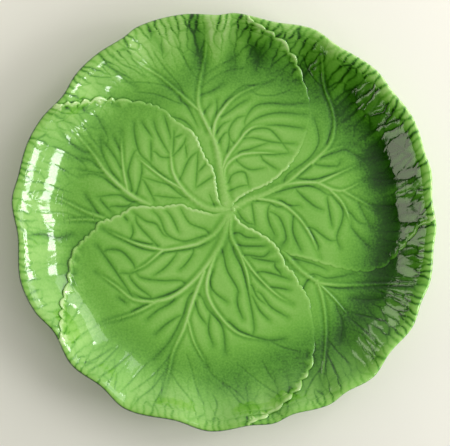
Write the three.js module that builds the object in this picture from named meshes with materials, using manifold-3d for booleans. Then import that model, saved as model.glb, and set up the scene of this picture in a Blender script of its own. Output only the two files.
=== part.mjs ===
// A leaf charger plate in green-glazed earthenware: a shallow dish on a foot ring, whose face carries
// five leaves in low relief. The leaves turn about an off-centre stalk knot and lap one over another.
// Millimetres, +Z up, origin on the table below the middle of the plate.
import * as THREE from "three";
import { mergeVertices } from "three/addons/utils/BufferGeometryUtils.js";
import Module from "manifold-3d";

const wasm = await Module();
wasm.setup();

// The dish
const RIM_DIAMETER = 320; // across the wavy rim, on average
const PLATE_HEIGHT = 33; // from the table to the lip of the dish, on average
const WELL_DIAMETER = 200; // the flat floor, up to where the wall starts to bend
const WALL_THICKNESS = 5; // of the clay in the well
const LIP_THICKNESS = 4; // of the clay at the rim
const WALL_BEND = 2.1; // how late the wall rises: at 1 it would be steepest half way out
const RIM_FOLD = 0.4; // how far the lip dips for each millimetre that it stands out

// The foot ring under the well
const FOOT_HEIGHT = 4;
const FOOT_WIDTH = 6;
const FOOT_TAPER = 1; // how far each side of the ring draws in towards the table
const FOOT_INSET = 12; // from the bend of the wall in to the ring

// The crests and notches of the wavy rim: bearing in degrees anticlockwise from +X, seen from above, and
// how far out of the mean circle
const RIM_WAVES = [
  [6, -0.5], [14, 2.8], [19, 2.1], [29, 4.7], [38, 2.8], [45, 4.2], [57, 0], [65, 2.4], [76, -2.7], [87, -0.4],
  [92, -2], [101, 1.5], [114, 3], [119, 0.2], [127, 0.7], [135, -0.4], [142, -4], [150, 0], [158, 1.7], [167, 0.8],
  [174, 2.6], [184, -2.7], [196, 1.5], [205, -0.5], [213, -6], [223, -1.1], [233, -4], [242, 0.8], [256, -4.8],
  [266, -0.6], [277, -4.3], [284, -2.5], [290, -5], [300, 0.2], [306, -0.8], [314, 3.8], [322, 0.6], [331, 4.3],
  [338, 2.1], [344, 3.5], [353, 0.8], [359, 1.7],
];

// The relief on the face
const SLIP_GAP = 0.3; // the slip joint under each leaf, and between neighbouring leaves
const LEAF_THICKNESS = 1.6;
const BEAD_RISE = 0.7; // of the raised bead along an edge that laps over a neighbour
const BEAD_WIDTH = 3;
const LOBE_DEPTH = 1.8; // of the scallops along a lapping edge
const RIB_RISE = 1; // of a midrib
const RIB_WIDTH = 5; // of a midrib at its foot
const RIB_TIP_WIDTH = 1.2;
const RIM_MARGIN = 1.5; // the bare lip outside the leaves
const KNOT_RADIUS = 5;
const KNOT_RISE = 1; // above the leaves
const KNOT_X = 6.8; // where the leaf stalks meet
const KNOT_Y = 10.3;

// How finely the curved faces are cut
const TURN_STEPS = 96; // round the dish and its foot
const WALL_STEPS = 8; // from the bend to the rim
const NOSE_STEPS = 4; // round the lip
const KNOT_STEPS = 24; // round the knot
const LEAF_ROWS = 30; // from the knot to the rim: two to each scallop
const PLAIN_ROWS = 3; // at the inner end of an edge, before its scallops start
const ARC_STEP = 4; // degrees between the points of a leaf's outline at the knot and at the rim

// Edges and midribs, each as [reach, bearing]. Reach goes from 0 at the knot to 1 at the rim, and the
// bearing is seen from the knot, in degrees anticlockwise from +X.
const A_OVER_C = [
  [0, 62], [0.08, 50], [0.17, 37], [0.28, 35], [0.4, 39], [0.5, 44], [0.6, 50], [0.7, 57],
  [0.79, 65], [0.86, 71], [0.93, 78], [1, 86],
];
const B_OVER_A = [
  [0, 160], [0.06, 145], [0.12, 130], [0.18, 116], [0.28, 118], [0.37, 117], [0.5, 122], [0.62, 126],
  [0.72, 133], [0.82, 140], [0.91, 145], [1, 150],
];
const D_OVER_B = [
  [0, 206], [0.06, 194], [0.14, 182], [0.22, 175], [0.32, 178], [0.41, 178], [0.5, 182], [0.58, 185],
  [0.66, 190], [0.73, 195], [0.8, 203], [0.88, 208], [1, 216],
];
const D_OVER_E = [
  [0, 285], [0.06, 302], [0.12, 315], [0.2, 321], [0.28, 319], [0.36, 313], [0.47, 311.5], [0.57, 308],
  [0.68, 303], [0.78, 299], [0.86, 293], [0.93, 283], [1, 272],
];
const C_OVER_E = [
  [0.3, 322], [0.38, 324.5], [0.47, 327.5], [0.6, 331.5], [0.7, 335], [0.78, 341], [0.86, 349],
  [0.93, 355], [1, 358],
];
const RIB_A = [[0, 110], [0.23, 106], [0.38, 105], [0.51, 108], [0.61, 106], [0.72, 102], [0.85, 99], [1, 98]];
const RIB_B = [[0, 175], [0.21, 160], [0.41, 172], [0.49, 170], [0.59, 163], [0.74, 157], [1, 150.5]];
const RIB_C = [[0, 392], [0.19, 385], [0.29, 387], [0.46, 391], [0.57, 391], [0.67, 388], [1, 386]];
const RIB_D = [[0, 240], [0.2, 250], [0.29, 245], [0.45, 246], [0.57, 248], [0.69, 247], [0.83, 249], [1, 250]];
const RIB_E = [[0.3, 319.5], [0.43, 318], [0.51, 319], [0.6, 314], [0.69, 307], [0.81, 301], [1, 294]];

const RIM_RADIUS = RIM_DIAMETER / 2;
const WELL_RADIUS = WELL_DIAMETER / 2;
const FLOOR_HEIGHT = FOOT_HEIGHT + WALL_THICKNESS;
const WALL_RISE = PLATE_HEIGHT - FLOOR_HEIGHT;
const FACE_RADIUS = RIM_RADIUS - LIP_THICKNESS / 2; // inside the round lip
const KNOT_PLACE = new THREE.Vector2(KNOT_X, KNOT_Y);
const FULL_TURN = 360;

const clamp = THREE.MathUtils.clamp;
const radians = THREE.MathUtils.degToRad;
const degrees = THREE.MathUtils.radToDeg;

// A smooth line through [place, value] points.
function smoothLine(points) {
  const line = new THREE.CubicInterpolant(points.map(([place]) => place), points.map(([, value]) => value), 1);
  return (place) => line.evaluate(place)[0];
}

// How far the rim stands out of its mean circle at a bearing from the plate's middle. The waves are
// laid down three times over, so that the line runs smoothly past a full turn.
const rimWave = smoothLine(
  [-FULL_TURN, 0, FULL_TURN].flatMap((turn) => RIM_WAVES.map(([bearing, out]) => [bearing + turn, out])),
);
const rimOffset = (bearing) => rimWave(THREE.MathUtils.euclideanModulo(degrees(bearing), FULL_TURN));

// The share of the wall, from 0 at the bend to 1 at the rim, at a radius of the round dish.
function wallShare(radius) {
  return clamp((radius - WELL_RADIUS) / (FACE_RADIUS - WELL_RADIUS), 0, 1);
}

// The wavy rim pulls the wall with it, less and less towards the well.
function wavyRadius(radius, bearing) {
  return radius + rimOffset(bearing) * wallShare(radius) ** 2;
}

// The face of the dish: level in the well, then an S-shaped wall that turns out level again at the lip.
function faceHeight(radius) {
  return FLOOR_HEIGHT + WALL_RISE * THREE.MathUtils.smoothstep(wallShare(radius) ** WALL_BEND, 0, 1);
}

function faceSlope(radius) {
  const share = wallShare(radius);
  const bent = share ** WALL_BEND;
  const perShare = 6 * bent * (1 - bent) * WALL_BEND * share ** (WALL_BEND - 1);
  return (perShare * WALL_RISE) / (FACE_RADIUS - WELL_RADIUS);
}

function glaze(color) {
  return new THREE.MeshStandardMaterial({ color, roughness: 0.12, metalness: 0 });
}

function bareGeometry(geometry) {
  geometry.deleteAttribute("normal");
  geometry.deleteAttribute("uv");
  return mergeVertices(geometry, 1e-4);
}

function solidOf(geometry) {
  const merged = bareGeometry(geometry);
  const vertProperties = new Float32Array(merged.attributes.position.array);
  const triVerts = new Uint32Array(merged.index.array);
  return new wasm.Manifold(new wasm.Mesh({ numProp: 3, vertProperties, triVerts }));
}

function geometryOf(solid) {
  const { vertProperties, triVerts } = solid.getMesh();
  const geometry = new THREE.BufferGeometry();
  geometry.setAttribute("position", new THREE.BufferAttribute(new Float32Array(vertProperties), 3));
  geometry.setIndex(new THREE.BufferAttribute(new Uint32Array(triVerts), 1));
  geometry.computeVertexNormals();
  return geometry;
}

// A profile of [radius, height] points turned about +Z.
function turned(profile, steps) {
  const points = profile.map(([radius, height]) => new THREE.Vector2(radius, height));
  return new THREE.LatheGeometry(points, steps).rotateX(Math.PI / 2);
}

// The dish: its underside follows its face at the clay's thickness, and a round lip joins the two.
function dishGeometry() {
  const face = [];
  const underside = [];
  for (let step = 0; step <= WALL_STEPS; step += 1) {
    const radius = WELL_RADIUS + ((FACE_RADIUS - WELL_RADIUS) * step) / WALL_STEPS;
    const height = faceHeight(radius);
    const thickness = THREE.MathUtils.lerp(WALL_THICKNESS, LIP_THICKNESS, step / WALL_STEPS);
    const lean = Math.atan(faceSlope(radius));
    face.push([radius, height]);
    underside.push([radius + thickness * Math.sin(lean), height - thickness * Math.cos(lean)]);
  }
  const lipTop = new THREE.Vector2(...face.at(-1));
  const lipFoot = new THREE.Vector2(...underside.at(-1));
  const lipMiddle = lipTop.clone().add(lipFoot).multiplyScalar(0.5);
  const nose = [];
  for (let step = 1; step < NOSE_STEPS; step += 1) {
    const turn = (Math.PI * step) / NOSE_STEPS;
    nose.push(lipFoot.clone().rotateAround(lipMiddle, turn).toArray());
  }
  const profile = [[0, FOOT_HEIGHT], ...underside, ...nose, ...face.reverse(), [0, FLOOR_HEIGHT]];
  const geometry = turned(profile, TURN_STEPS);
  const places = geometry.attributes.position;
  for (let index = 0; index < places.count; index += 1) {
    const bearing = Math.atan2(places.getY(index), places.getX(index));
    const radius = Math.hypot(places.getX(index), places.getY(index));
    const wavy = wavyRadius(radius, bearing);
    const dip = RIM_FOLD * (wavy - radius);
    places.setXYZ(index, wavy * Math.cos(bearing), wavy * Math.sin(bearing), places.getZ(index) - dip);
  }
  return bareGeometry(geometry);
}

// The foot ring, flat where it stands and face to face with the flat underside of the well.
function footGeometry() {
  const outer = WELL_RADIUS - FOOT_INSET;
  const inner = outer - FOOT_WIDTH;
  const profile = [
    [inner + FOOT_TAPER, 0],
    [outer - FOOT_TAPER, 0],
    [outer, FOOT_HEIGHT],
    [inner, FOOT_HEIGHT],
    [inner + FOOT_TAPER, 0],
  ];
  return turned(profile, TURN_STEPS);
}

// The low dome where the leaf stalks run together.
function knotGeometry() {
  const profile = [
    [0, 0],
    [KNOT_RADIUS, 0],
    [KNOT_RADIUS, LEAF_THICKNESS],
    [KNOT_RADIUS * Math.SQRT1_2, LEAF_THICKNESS + KNOT_RISE * Math.SQRT1_2],
    [0, LEAF_THICKNESS + KNOT_RISE],
  ];
  return turned(profile, KNOT_STEPS);
}

// From the knot towards a bearing: the distance to the edge of the leafy face.
function reachLength(bearing) {
  let rimBearing = bearing;
  const rimPoint = new THREE.Vector2();
  for (let pass = 0; pass < 12; pass += 1) {
    const radius = FACE_RADIUS + rimOffset(rimBearing) - RIM_MARGIN;
    rimPoint.set(radius * Math.cos(rimBearing), radius * Math.sin(rimBearing)).sub(KNOT_PLACE);
    const miss = bearing - rimPoint.angle();
    rimBearing += Math.atan2(Math.sin(miss), Math.cos(miss));
  }
  return rimPoint.length();
}

// A smooth line of bearings, in radians, over the rows of a leaf.
function rowBearings(line) {
  const bearingAt = smoothLine(line);
  return Array.from({ length: LEAF_ROWS + 1 }, (_, row) => radians(bearingAt(row / LEAF_ROWS)));
}

function distanceAt(row, bearing) {
  const start = KNOT_RADIUS + SLIP_GAP;
  return start + (reachLength(bearing) - start) * (row / LEAF_ROWS);
}

// An edge where one leaf laps over another. Every second row swells out over the lower leaf as a
// scallop, and side says on which side of the edge that lower leaf lies: 1 is anticlockwise.
function lappingEdge(line, side) {
  const scallopsFrom = line[0][0] * LEAF_ROWS + PLAIN_ROWS;
  return rowBearings(line).map((bearing, row) => {
    const depth = row % 2 === 1 && row > scallopsFrom ? LOBE_DEPTH : 0;
    return bearing + (side * depth) / distanceAt(row, bearing);
  });
}

const edges = {
  aOverC: lappingEdge(A_OVER_C, -1),
  bOverA: lappingEdge(B_OVER_A, -1),
  dOverB: lappingEdge(D_OVER_B, -1),
  dOverE: lappingEdge(D_OVER_E, 1),
  cOverE: lappingEdge(C_OVER_E, -1),
};
const LOWEST_LEAF_ROW = Math.round(C_OVER_E[0][0] * LEAF_ROWS); // where the lowest leaf comes out

// Each leaf lies between two edges, going anticlockwise, and has a bead along those where it is the upper one.
const leaves = [
  { name: "leaf_top", from: edges.aOverC, to: edges.bOverA, rib: RIB_A, beads: [edges.aOverC] },
  { name: "leaf_upper_left", from: edges.bOverA, to: edges.dOverB, rib: RIB_B, beads: [edges.bOverA] },
  { name: "leaf_lower_left", from: edges.dOverB, to: edges.dOverE, rib: RIB_D, beads: [edges.dOverB, edges.dOverE] },
  { name: "leaf_lower_right", from: edges.dOverE, to: edges.cOverE, rib: RIB_E, beads: [], firstRow: LOWEST_LEAF_ROW },
  {
    name: "leaf_right",
    from: edges.cOverE.map((bearing, row) => (row < LOWEST_LEAF_ROW ? edges.dOverE[row] : bearing)),
    to: edges.aOverC.map((bearing) => bearing + radians(FULL_TURN)),
    rib: RIB_C,
    beads: [edges.cOverE],
  },
];

function placeAt(row, bearing) {
  const distance = distanceAt(row, bearing);
  return new THREE.Vector2(distance, 0).rotateAround(new THREE.Vector2(), bearing).add(KNOT_PLACE);
}

// The points of a row of bearings, each moved sideways by a distance: anticlockwise if it is positive.
function linePoints(bearings, firstRow, sideways) {
  const points = [];
  for (let row = firstRow; row <= LEAF_ROWS; row += 1) {
    const bearing = bearings[row] + sideways(row) / distanceAt(row, bearings[row]);
    points.push(placeAt(row, bearing));
  }
  return points;
}

// The points between two bearings along one row, without its ends.
function arcPoints(row, from, to) {
  const steps = Math.ceil(Math.abs(degrees(to - from)) / ARC_STEP);
  const points = [];
  for (let step = 1; step < steps; step += 1) points.push(placeAt(row, from + ((to - from) * step) / steps));
  return points;
}

// A leaf seen from above: out along one edge, round the rim, and back along the other edge to the knot.
function leafOutline({ from, to, firstRow = 0 }) {
  const out = linePoints(from, firstRow, () => SLIP_GAP / 2);
  const back = linePoints(to, firstRow, () => -SLIP_GAP / 2).reverse();
  const rim = arcPoints(LEAF_ROWS, from[LEAF_ROWS], to[LEAF_ROWS]);
  const knotEnd = firstRow === 0 ? arcPoints(0, to[0], from[0]) : [];
  return [...out, ...rim, ...back, ...knotEnd];
}

// A strip along a line of bearings, seen from above, as wide to each side as half of its width there.
function stripOutline(bearings, firstRow, widthAt) {
  const right = linePoints(bearings, firstRow, (row) => -widthAt(row) / 2);
  const left = linePoints(bearings, firstRow, (row) => widthAt(row) / 2);
  return [...right, ...left.reverse()];
}

function prismOf(outline) {
  const options = { depth: 2 * PLATE_HEIGHT, bevelEnabled: false };
  return solidOf(new THREE.ExtrudeGeometry(new THREE.Shape(outline), options));
}

// The dish lifted clear of itself, so that its face lies at a height over the slip joint.
function faceOver(dish, height) {
  return solidOf(dish.clone().translate(0, 0, SLIP_GAP + height));
}

// A leaf is a slab of even thickness over the face of the dish, with its midrib and its beads raised on it.
function leafSolid(leaf, dish) {
  const firstRow = leaf.firstRow ?? 0;
  const ribWidth = (row) => THREE.MathUtils.lerp(RIB_WIDTH, RIB_TIP_WIDTH, row / LEAF_ROWS);
  const rib = prismOf(stripOutline(rowBearings(leaf.rib), firstRow, ribWidth));
  let raised = faceOver(dish, LEAF_THICKNESS).add(rib.intersect(faceOver(dish, LEAF_THICKNESS + RIB_RISE)));
  for (const edge of leaf.beads) {
    const beadStart = edge === edges.cOverE ? LOWEST_LEAF_ROW : 0;
    const bead = prismOf(stripOutline(edge, beadStart, () => 2 * BEAD_WIDTH));
    raised = raised.add(bead.intersect(faceOver(dish, LEAF_THICKNESS + BEAD_RISE)));
  }
  return prismOf(leafOutline(leaf)).intersect(raised).subtract(faceOver(dish, 0));
}

const plate = new THREE.Group();

function addPiece(name, geometry, material) {
  const piece = new THREE.Mesh(geometry, material);
  piece.name = name;
  plate.add(piece);
  return piece;
}

const dish = dishGeometry();
addPiece("dish_body", dish, glaze(0x4f8f33));
addPiece("foot_ring", footGeometry(), new THREE.MeshStandardMaterial({ color: 0xd9cba8, roughness: 0.8 }));
const knot = addPiece("stalk_knot", knotGeometry(), glaze(0x8cbd5c));
knot.position.set(KNOT_PLACE.x, KNOT_PLACE.y, FLOOR_HEIGHT + SLIP_GAP);

for (const leaf of leaves) addPiece(leaf.name, geometryOf(leafSolid(leaf, dish)), glaze(0x6fae45));

export default plate;
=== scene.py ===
# %% [markdown]
# # A leaf charger plate in green glaze
# The plate is one earthenware dish on a foot ring. Its face carries five moulded leaves that turn about
# a knot a little off the middle and lap one over another. The imported solids give the places and the
# sizes, and this lesson lays the fine surface over them: lapped and scalloped edges, raised veins, cut
# veins, and a glaze that runs thin on what stands up and pools dark in what lies low.
#
# The first step loads the solids.

# %% Load the imported solids
import math

import bpy
import numpy as np
from mathutils import Matrix, Vector


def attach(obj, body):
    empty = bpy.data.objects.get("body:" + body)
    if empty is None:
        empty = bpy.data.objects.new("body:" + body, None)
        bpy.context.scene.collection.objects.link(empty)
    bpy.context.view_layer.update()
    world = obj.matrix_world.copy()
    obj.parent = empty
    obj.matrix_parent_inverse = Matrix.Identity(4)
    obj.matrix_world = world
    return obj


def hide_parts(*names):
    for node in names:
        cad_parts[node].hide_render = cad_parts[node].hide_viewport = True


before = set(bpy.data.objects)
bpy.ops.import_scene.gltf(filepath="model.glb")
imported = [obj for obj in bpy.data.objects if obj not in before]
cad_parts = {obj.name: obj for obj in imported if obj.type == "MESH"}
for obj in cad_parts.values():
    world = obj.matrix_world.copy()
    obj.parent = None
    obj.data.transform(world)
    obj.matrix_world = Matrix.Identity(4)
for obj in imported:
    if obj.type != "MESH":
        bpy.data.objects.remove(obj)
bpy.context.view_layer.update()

# %% [markdown]
# ## The dish in numbers
# A potter throws or presses a dish to a profile, so the whole face can be a formula: a level well, then
# an S-shaped wall that turns out level again at the lip. The rim isn't a true circle. A list of its
# crests and notches, joined by a smooth line, pulls the wall in and out, and the lip dips where it
# stands out, so the wall lies in soft folds. All sizes here are in millimetres and are turned into
# metres only when a mesh is made.

# %% The profile and the wavy rim
MM = 0.001
RIM_DIAMETER = 320
PLATE_HEIGHT = 33
WELL_DIAMETER = 200
WALL_THICKNESS = 5
LIP_THICKNESS = 4
WALL_BEND = 2.1  # how late the wall rises
RIM_FOLD = 0.4  # how far the lip dips for each mm that it stands out
FOOT_HEIGHT = 4
FOOT_WIDTH = 6
FOOT_TAPER = 1
FOOT_INSET = 12
RIM_WAVES = [  # bearing in degrees, and how far the rim stands out of its mean circle
    (6, -0.5), (14, 2.8), (19, 2.1), (29, 4.7), (38, 2.8), (45, 4.2), (57, 0), (65, 2.4), (76, -2.7),
    (87, -0.4), (92, -2), (101, 1.5), (114, 3), (119, 0.2), (127, 0.7), (135, -0.4), (142, -4), (150, 0),
    (158, 1.7), (167, 0.8), (174, 2.6), (184, -2.7), (196, 1.5), (205, -0.5), (213, -6), (223, -1.1),
    (233, -4), (242, 0.8), (256, -4.8), (266, -0.6), (277, -4.3), (284, -2.5), (290, -5), (300, 0.2),
    (306, -0.8), (314, 3.8), (322, 0.6), (331, 4.3), (338, 2.1), (344, 3.5), (353, 0.8), (359, 1.7),
]
FULL_TURN = 360
SOLVE_ROUNDS = 10  # enough wherever a value is found by trying
PLACES_TRIED = 90  # for a mean or a greatest value

RIM_RADIUS = RIM_DIAMETER / 2
WELL_RADIUS = WELL_DIAMETER / 2
FLOOR_HEIGHT = FOOT_HEIGHT + WALL_THICKNESS
WALL_RISE = PLATE_HEIGHT - FLOOR_HEIGHT
FACE_RADIUS = RIM_RADIUS - LIP_THICKNESS / 2


def smooth_line(points):
    """A smooth line through (place, value) points, which stays level past its two ends."""
    places, values = np.array(points, float).T
    slopes = np.gradient(values, places)
    slopes[1:-1] = (values[2:] - values[:-2]) / (places[2:] - places[:-2])

    def value_at(place):
        place = np.clip(place, places[0], places[-1])
        left = np.clip(np.searchsorted(places, place) - 1, 0, len(places) - 2)
        gap = places[left + 1] - places[left]
        t = (place - places[left]) / gap
        start = values[left] * (1 + 2 * t) * (1 - t) ** 2 + gap * slopes[left] * t * (1 - t) ** 2
        end = values[left + 1] * t**2 * (3 - 2 * t) + gap * slopes[left + 1] * t**2 * (t - 1)
        return start + end

    return value_at


rim_wave = smooth_line([(b + turn, out) for turn in (-FULL_TURN, 0, FULL_TURN) for b, out in RIM_WAVES])


def rim_offset(bearing):
    return rim_wave(np.degrees(bearing) % FULL_TURN)


def wall_share(radius):
    """From 0 at the bend of the wall to 1 at the lip, on the round dish."""
    return np.clip((radius - WELL_RADIUS) / (FACE_RADIUS - WELL_RADIUS), 0, 1)


def wavy_radius(radius, bearing):
    return radius + rim_offset(bearing) * wall_share(radius) ** 2


def round_radius(x, y):
    """The radius of the round dish that lands on a point of the wavy one."""
    bearing = np.arctan2(y, x)
    target = np.hypot(x, y)
    radius = target.copy()
    for _ in range(SOLVE_ROUNDS):
        radius += target - wavy_radius(radius, bearing)
    return radius


def profile_height(radius):
    bent = wall_share(radius) ** WALL_BEND
    return FLOOR_HEIGHT + WALL_RISE * bent**2 * (3 - 2 * bent)


def profile_slope(radius):
    share = wall_share(radius)
    bent = share**WALL_BEND
    per_share = 6 * bent * (1 - bent) * WALL_BEND * share ** (WALL_BEND - 1)
    return per_share * WALL_RISE / (FACE_RADIUS - WELL_RADIUS)


def face_height(x, y):
    radius = round_radius(x, y)
    return profile_height(radius) - RIM_FOLD * (np.hypot(x, y) - radius)


wall_radii = np.linspace(WELL_RADIUS, FACE_RADIUS, PLACES_TRIED)
steepest = math.degrees(math.atan(profile_slope(wall_radii).max()))
print(f"the wall rises {WALL_RISE} mm and is {steepest:.0f} degrees at its steepest")

# %% [markdown]
# ## The camera
# The plate is seen from straight above. A long lens from far away would show every height at one scale,
# but a table-top picture is taken from closer, so the well looks a little smaller than the rim. The
# camera comes before the leaves because their veins are traced in picture points: `plan` follows the
# camera's rays down to the face of the dish, and so gives the place on the real plate.

# %% Set the camera and a way back from picture points to the plate
IMAGE_WIDTH = 450
IMAGE_HEIGHT = 446
PLATE_MIDDLE_POINT = (224, 222.5)  # in picture points
LIP_SCALE = 0.76  # mm to a picture point, at the height of the lip
CAMERA_DISTANCE = 1200  # above the lip
SENSOR_WIDTH = 36
CAMERA_X = (IMAGE_WIDTH / 2 - PLATE_MIDDLE_POINT[0]) * LIP_SCALE
CAMERA_Y = (PLATE_MIDDLE_POINT[1] - IMAGE_HEIGHT / 2) * LIP_SCALE
CAMERA_Z = PLATE_HEIGHT + CAMERA_DISTANCE

camera_data = bpy.data.cameras.new("camera")
camera_data.sensor_width = SENSOR_WIDTH
camera_data.lens = SENSOR_WIDTH * CAMERA_DISTANCE / (IMAGE_WIDTH * LIP_SCALE)
camera = bpy.data.objects.new("camera", camera_data)
camera.location = (CAMERA_X * MM, CAMERA_Y * MM, CAMERA_Z * MM)
bpy.context.scene.collection.objects.link(camera)
bpy.context.scene.camera = camera


def plan(trace):
    """Picture points, as places on the face of the dish seen from above, in mm."""
    across, down = np.array(trace, float).T
    height = np.full(across.size, float(PLATE_HEIGHT))
    for _ in range(SOLVE_ROUNDS):
        scale = LIP_SCALE * (CAMERA_Z - height) / CAMERA_DISTANCE
        x = CAMERA_X + (across - IMAGE_WIDTH / 2) * scale
        y = CAMERA_Y - (down - IMAGE_HEIGHT / 2) * scale
        height = face_height(x, y)
    return np.column_stack([x, y])


print(f"lens {camera_data.lens:.0f} mm, {CAMERA_Z} mm above the table")

# %% [markdown]
# ## The edges of the leaves
# Each leaf is the patch between two edges that run from the knot to the rim. An edge is traced once and
# used by both of its leaves, so no gap can open between them. The traces are lists of picture points, with
# more of them where an edge turns.

# %% Trace where one leaf lies over another
KNOT_POINT = (233, 209)
TOP_OVER_RIGHT = [
    (233, 205), (236.5, 201), (246.5, 194), (264, 186.5), (282, 173.6), (295, 158), (302.5, 143.5),
    (308, 126), (309.6, 107.6), (307, 92), (302, 77), (296, 60), (286, 45.5), (275, 35.5), (260, 26),
    (250, 18),
]
UPPER_LEFT_OVER_TOP = [
    (224, 207), (217.5, 193), (216, 182), (214, 171), (206, 158), (201, 147), (195, 134), (184, 125.5),
    (175, 120), (164, 109.5), (150, 104), (133, 101), (113, 99), (97, 98.5), (82, 102),
    (66, 103.5), (59, 104.5),
]
LOWER_LEFT_OVER_UPPER_LEFT = [
    (216, 214), (203, 211), (192, 208.5), (184, 204.6), (175, 204), (164, 206), (149, 206), (133, 206.4),
    (122, 213), (110, 218.4), (101, 221), (92, 231.6), (83, 240), (75, 248), (70.6, 257.5), (69, 270),
    (67.5, 282), (63, 295), (61, 310), (60.6, 325), (60, 338),
]
LOWER_LEFT_OVER_LOWER_RIGHT = [
    (232.5, 212.5), (235, 215), (243, 224), (252, 228.4), (260, 233), (269, 238.5), (277.5, 247), (282, 256),
    (286, 265), (294, 273), (299, 283), (304, 290), (309, 300.5), (311, 313), (314, 330), (313.6, 350),
    (310.5, 368), (304, 379), (297, 390), (287, 400), (275, 410), (260, 419), (250, 423.5),
]
RIGHT_OVER_LOWER_RIGHT = [
    (279, 249), (283, 251), (290, 255), (299, 257), (314, 261), (337.6, 267.7), (357, 271), (372, 270),
    (384, 266), (395, 256), (406, 244), (413, 235), (422, 225), (434, 220),
]

knot = plan([KNOT_POINT])[0]
print(f"knot at {knot.round(1)} mm from the middle")

# %% [markdown]
# Seen from the knot, an edge is a bearing that changes with the reach, from 0 at the knot to 1 at the rim,
# which is all that a grid of rows and columns needs. The rows are set once for all the leaves. They lie
# closer where the lobes of the edges are large, and closest where a leaf turns over the round lip.

# %% Lay out the rows from the knot to the rim
KNOT_RADIUS = 2
KNOT_SHARE = 0.8  # the first row lies at this share of the knot's radius
LIP_REACH = 1.9  # the leaves run this far out over the round lip
ROW_STEP = 0.58
OUTER_ROW_STEP = 0.42  # where the lobes are large
OUTER_FROM = 0.78
LAST_ROWS = [3.2, 2.7, 2.2, 1.75, 1.35, 1, 0.7, 0.45, 0.25, 0.1, 0]  # distances from the end


def reach_length(bearing):
    """From the knot towards a bearing, how far the face of the dish goes."""
    rim_bearing = np.array(bearing, float)
    for _ in range(SOLVE_ROUNDS):
        radius = FACE_RADIUS + rim_offset(rim_bearing) + LIP_REACH
        x = radius * np.cos(rim_bearing) - knot[0]
        y = radius * np.sin(rim_bearing) - knot[1]
        miss = bearing - np.arctan2(y, x)
        rim_bearing += np.arctan2(np.sin(miss), np.cos(miss))
    return np.hypot(x, y)


def lay_out(bearing, reach):
    """Places in plan, in mm, at a bearing and a reach from the knot."""
    distance = reach * reach_length(bearing)
    return knot[0] + distance * np.cos(bearing), knot[1] + distance * np.sin(bearing)


MEAN_REACH = float(np.mean(reach_length(np.linspace(0, 2 * math.pi, PLACES_TRIED))))
last_rows = 1 - np.array(LAST_ROWS) / MEAN_REACH
inner_rows = np.arange(KNOT_RADIUS * KNOT_SHARE / MEAN_REACH, OUTER_FROM, ROW_STEP / MEAN_REACH)
outer_step = OUTER_ROW_STEP / MEAN_REACH
outer_rows = np.arange(inner_rows[-1] + outer_step, last_rows[0] - outer_step / 2, outer_step)
REACHES = np.concatenate([inner_rows, outer_rows, last_rows])
print(f"{REACHES.size} rows over {MEAN_REACH:.0f} mm")

# %% [markdown]
# The scallops of an edge are a formula: round lobes with a sharp notch between them, each a little longer
# or deeper than the last. They swell square to the edge and run out just short of the rim.

# %% Scallop an edge
LOBE_PITCH = (5, 11)  # at the knot and at the rim
LOBE_DEPTH = (0.7, 1.5, 3.6)  # at the knot, half way and at the rim
LOBE_LENGTHS = (0.5, 1.6)  # the shortest and the longest, beside the pitch
LOBE_SIZES = (0.6, 1.3)
LOBE_SHAPE = 0.6  # below 1 the lobes are round and the notches sharp
LOBE_MEAN = 0.6
LOBES_END = (0.96, 0.99)  # the reaches between which they run out
EDGE_POINTS = 1600
EDGE_CREEP = 1e-7  # keeps the points of an edge in order

chance = np.random.default_rng(11)


def rise_between(value, low, high):
    """A smooth step from 0 at low to 1 at high."""
    t = np.clip((value - low) / (high - low), 0, 1)
    return t * t * (3 - 2 * t)


def scallops(along, reach):
    """Round lobes of uneven length along an edge, from 0 to 1, and how far each swells, about 0."""
    ends = [0.0]
    while ends[-1] < along[-1]:
        pitch = np.interp(np.interp(ends[-1], along, reach), (0, 1), LOBE_PITCH)
        ends.append(ends[-1] + pitch * chance.uniform(*LOBE_LENGTHS))
    sizes = chance.uniform(*LOBE_SIZES, len(ends))
    which = np.searchsorted(ends, along, side="right") - 1
    share = (along - np.array(ends)[which]) / np.diff([*ends, ends[-1] + 1])[which]
    lobe = np.abs(np.sin(math.pi * share)) ** LOBE_SHAPE
    return lobe, np.interp(reach, (0, 0.5, 1), LOBE_DEPTH) * sizes[which] * (lobe - LOBE_MEAN)


def edge_from(trace, side, lips):
    """An edge over all rows. Its lobes swell square to it, to one side: 1 is anticlockwise."""
    away = plan(trace) - knot
    bearings = np.unwrap(np.arctan2(away[:, 1], away[:, 0]))
    bearings += 2 * math.pi * (bearings[0] < 0)
    reaches = np.hypot(*away.T) / reach_length(bearings)
    fine = np.linspace(REACHES[0], 1, EDGE_POINTS)
    bearing = smooth_line(np.column_stack([reaches, bearings]))(fine)
    places = np.column_stack(lay_out(bearing, fine)) - knot
    heading = np.gradient(places, axis=0)
    steps = np.hypot(*heading.T)
    lobe, out = scallops(np.cumsum(steps), fine)
    out = side * out * np.sqrt(np.interp(fine, *np.array(lips).T))
    out = out * (1 - rise_between(fine, *LOBES_END))
    swollen = places + np.column_stack([-heading[:, 1], heading[:, 0]]) * (out / steps)[:, None]
    turn = np.arctan2(*swollen.T[::-1]) - bearing
    bearing = bearing + np.arctan2(np.sin(turn), np.cos(turn))
    farthest = np.maximum.accumulate(np.hypot(*swollen.T) / reach_length(bearing))
    farthest = farthest + EDGE_CREEP * np.arange(EDGE_POINTS)
    edge = {"start": reaches[0], "lip": np.interp(REACHES, *np.array(lips).T)}
    edge["bearing"] = np.interp(REACHES, farthest, bearing)
    edge["lobe"] = np.interp(REACHES, farthest, lobe)
    turning = np.gradient(np.unwrap(np.arctan2(*places.T[::-1])), np.hypot(*places.T))
    edge["slant"] = np.interp(REACHES, fine, turning) * REACHES * MEAN_REACH
    return edge


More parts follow.
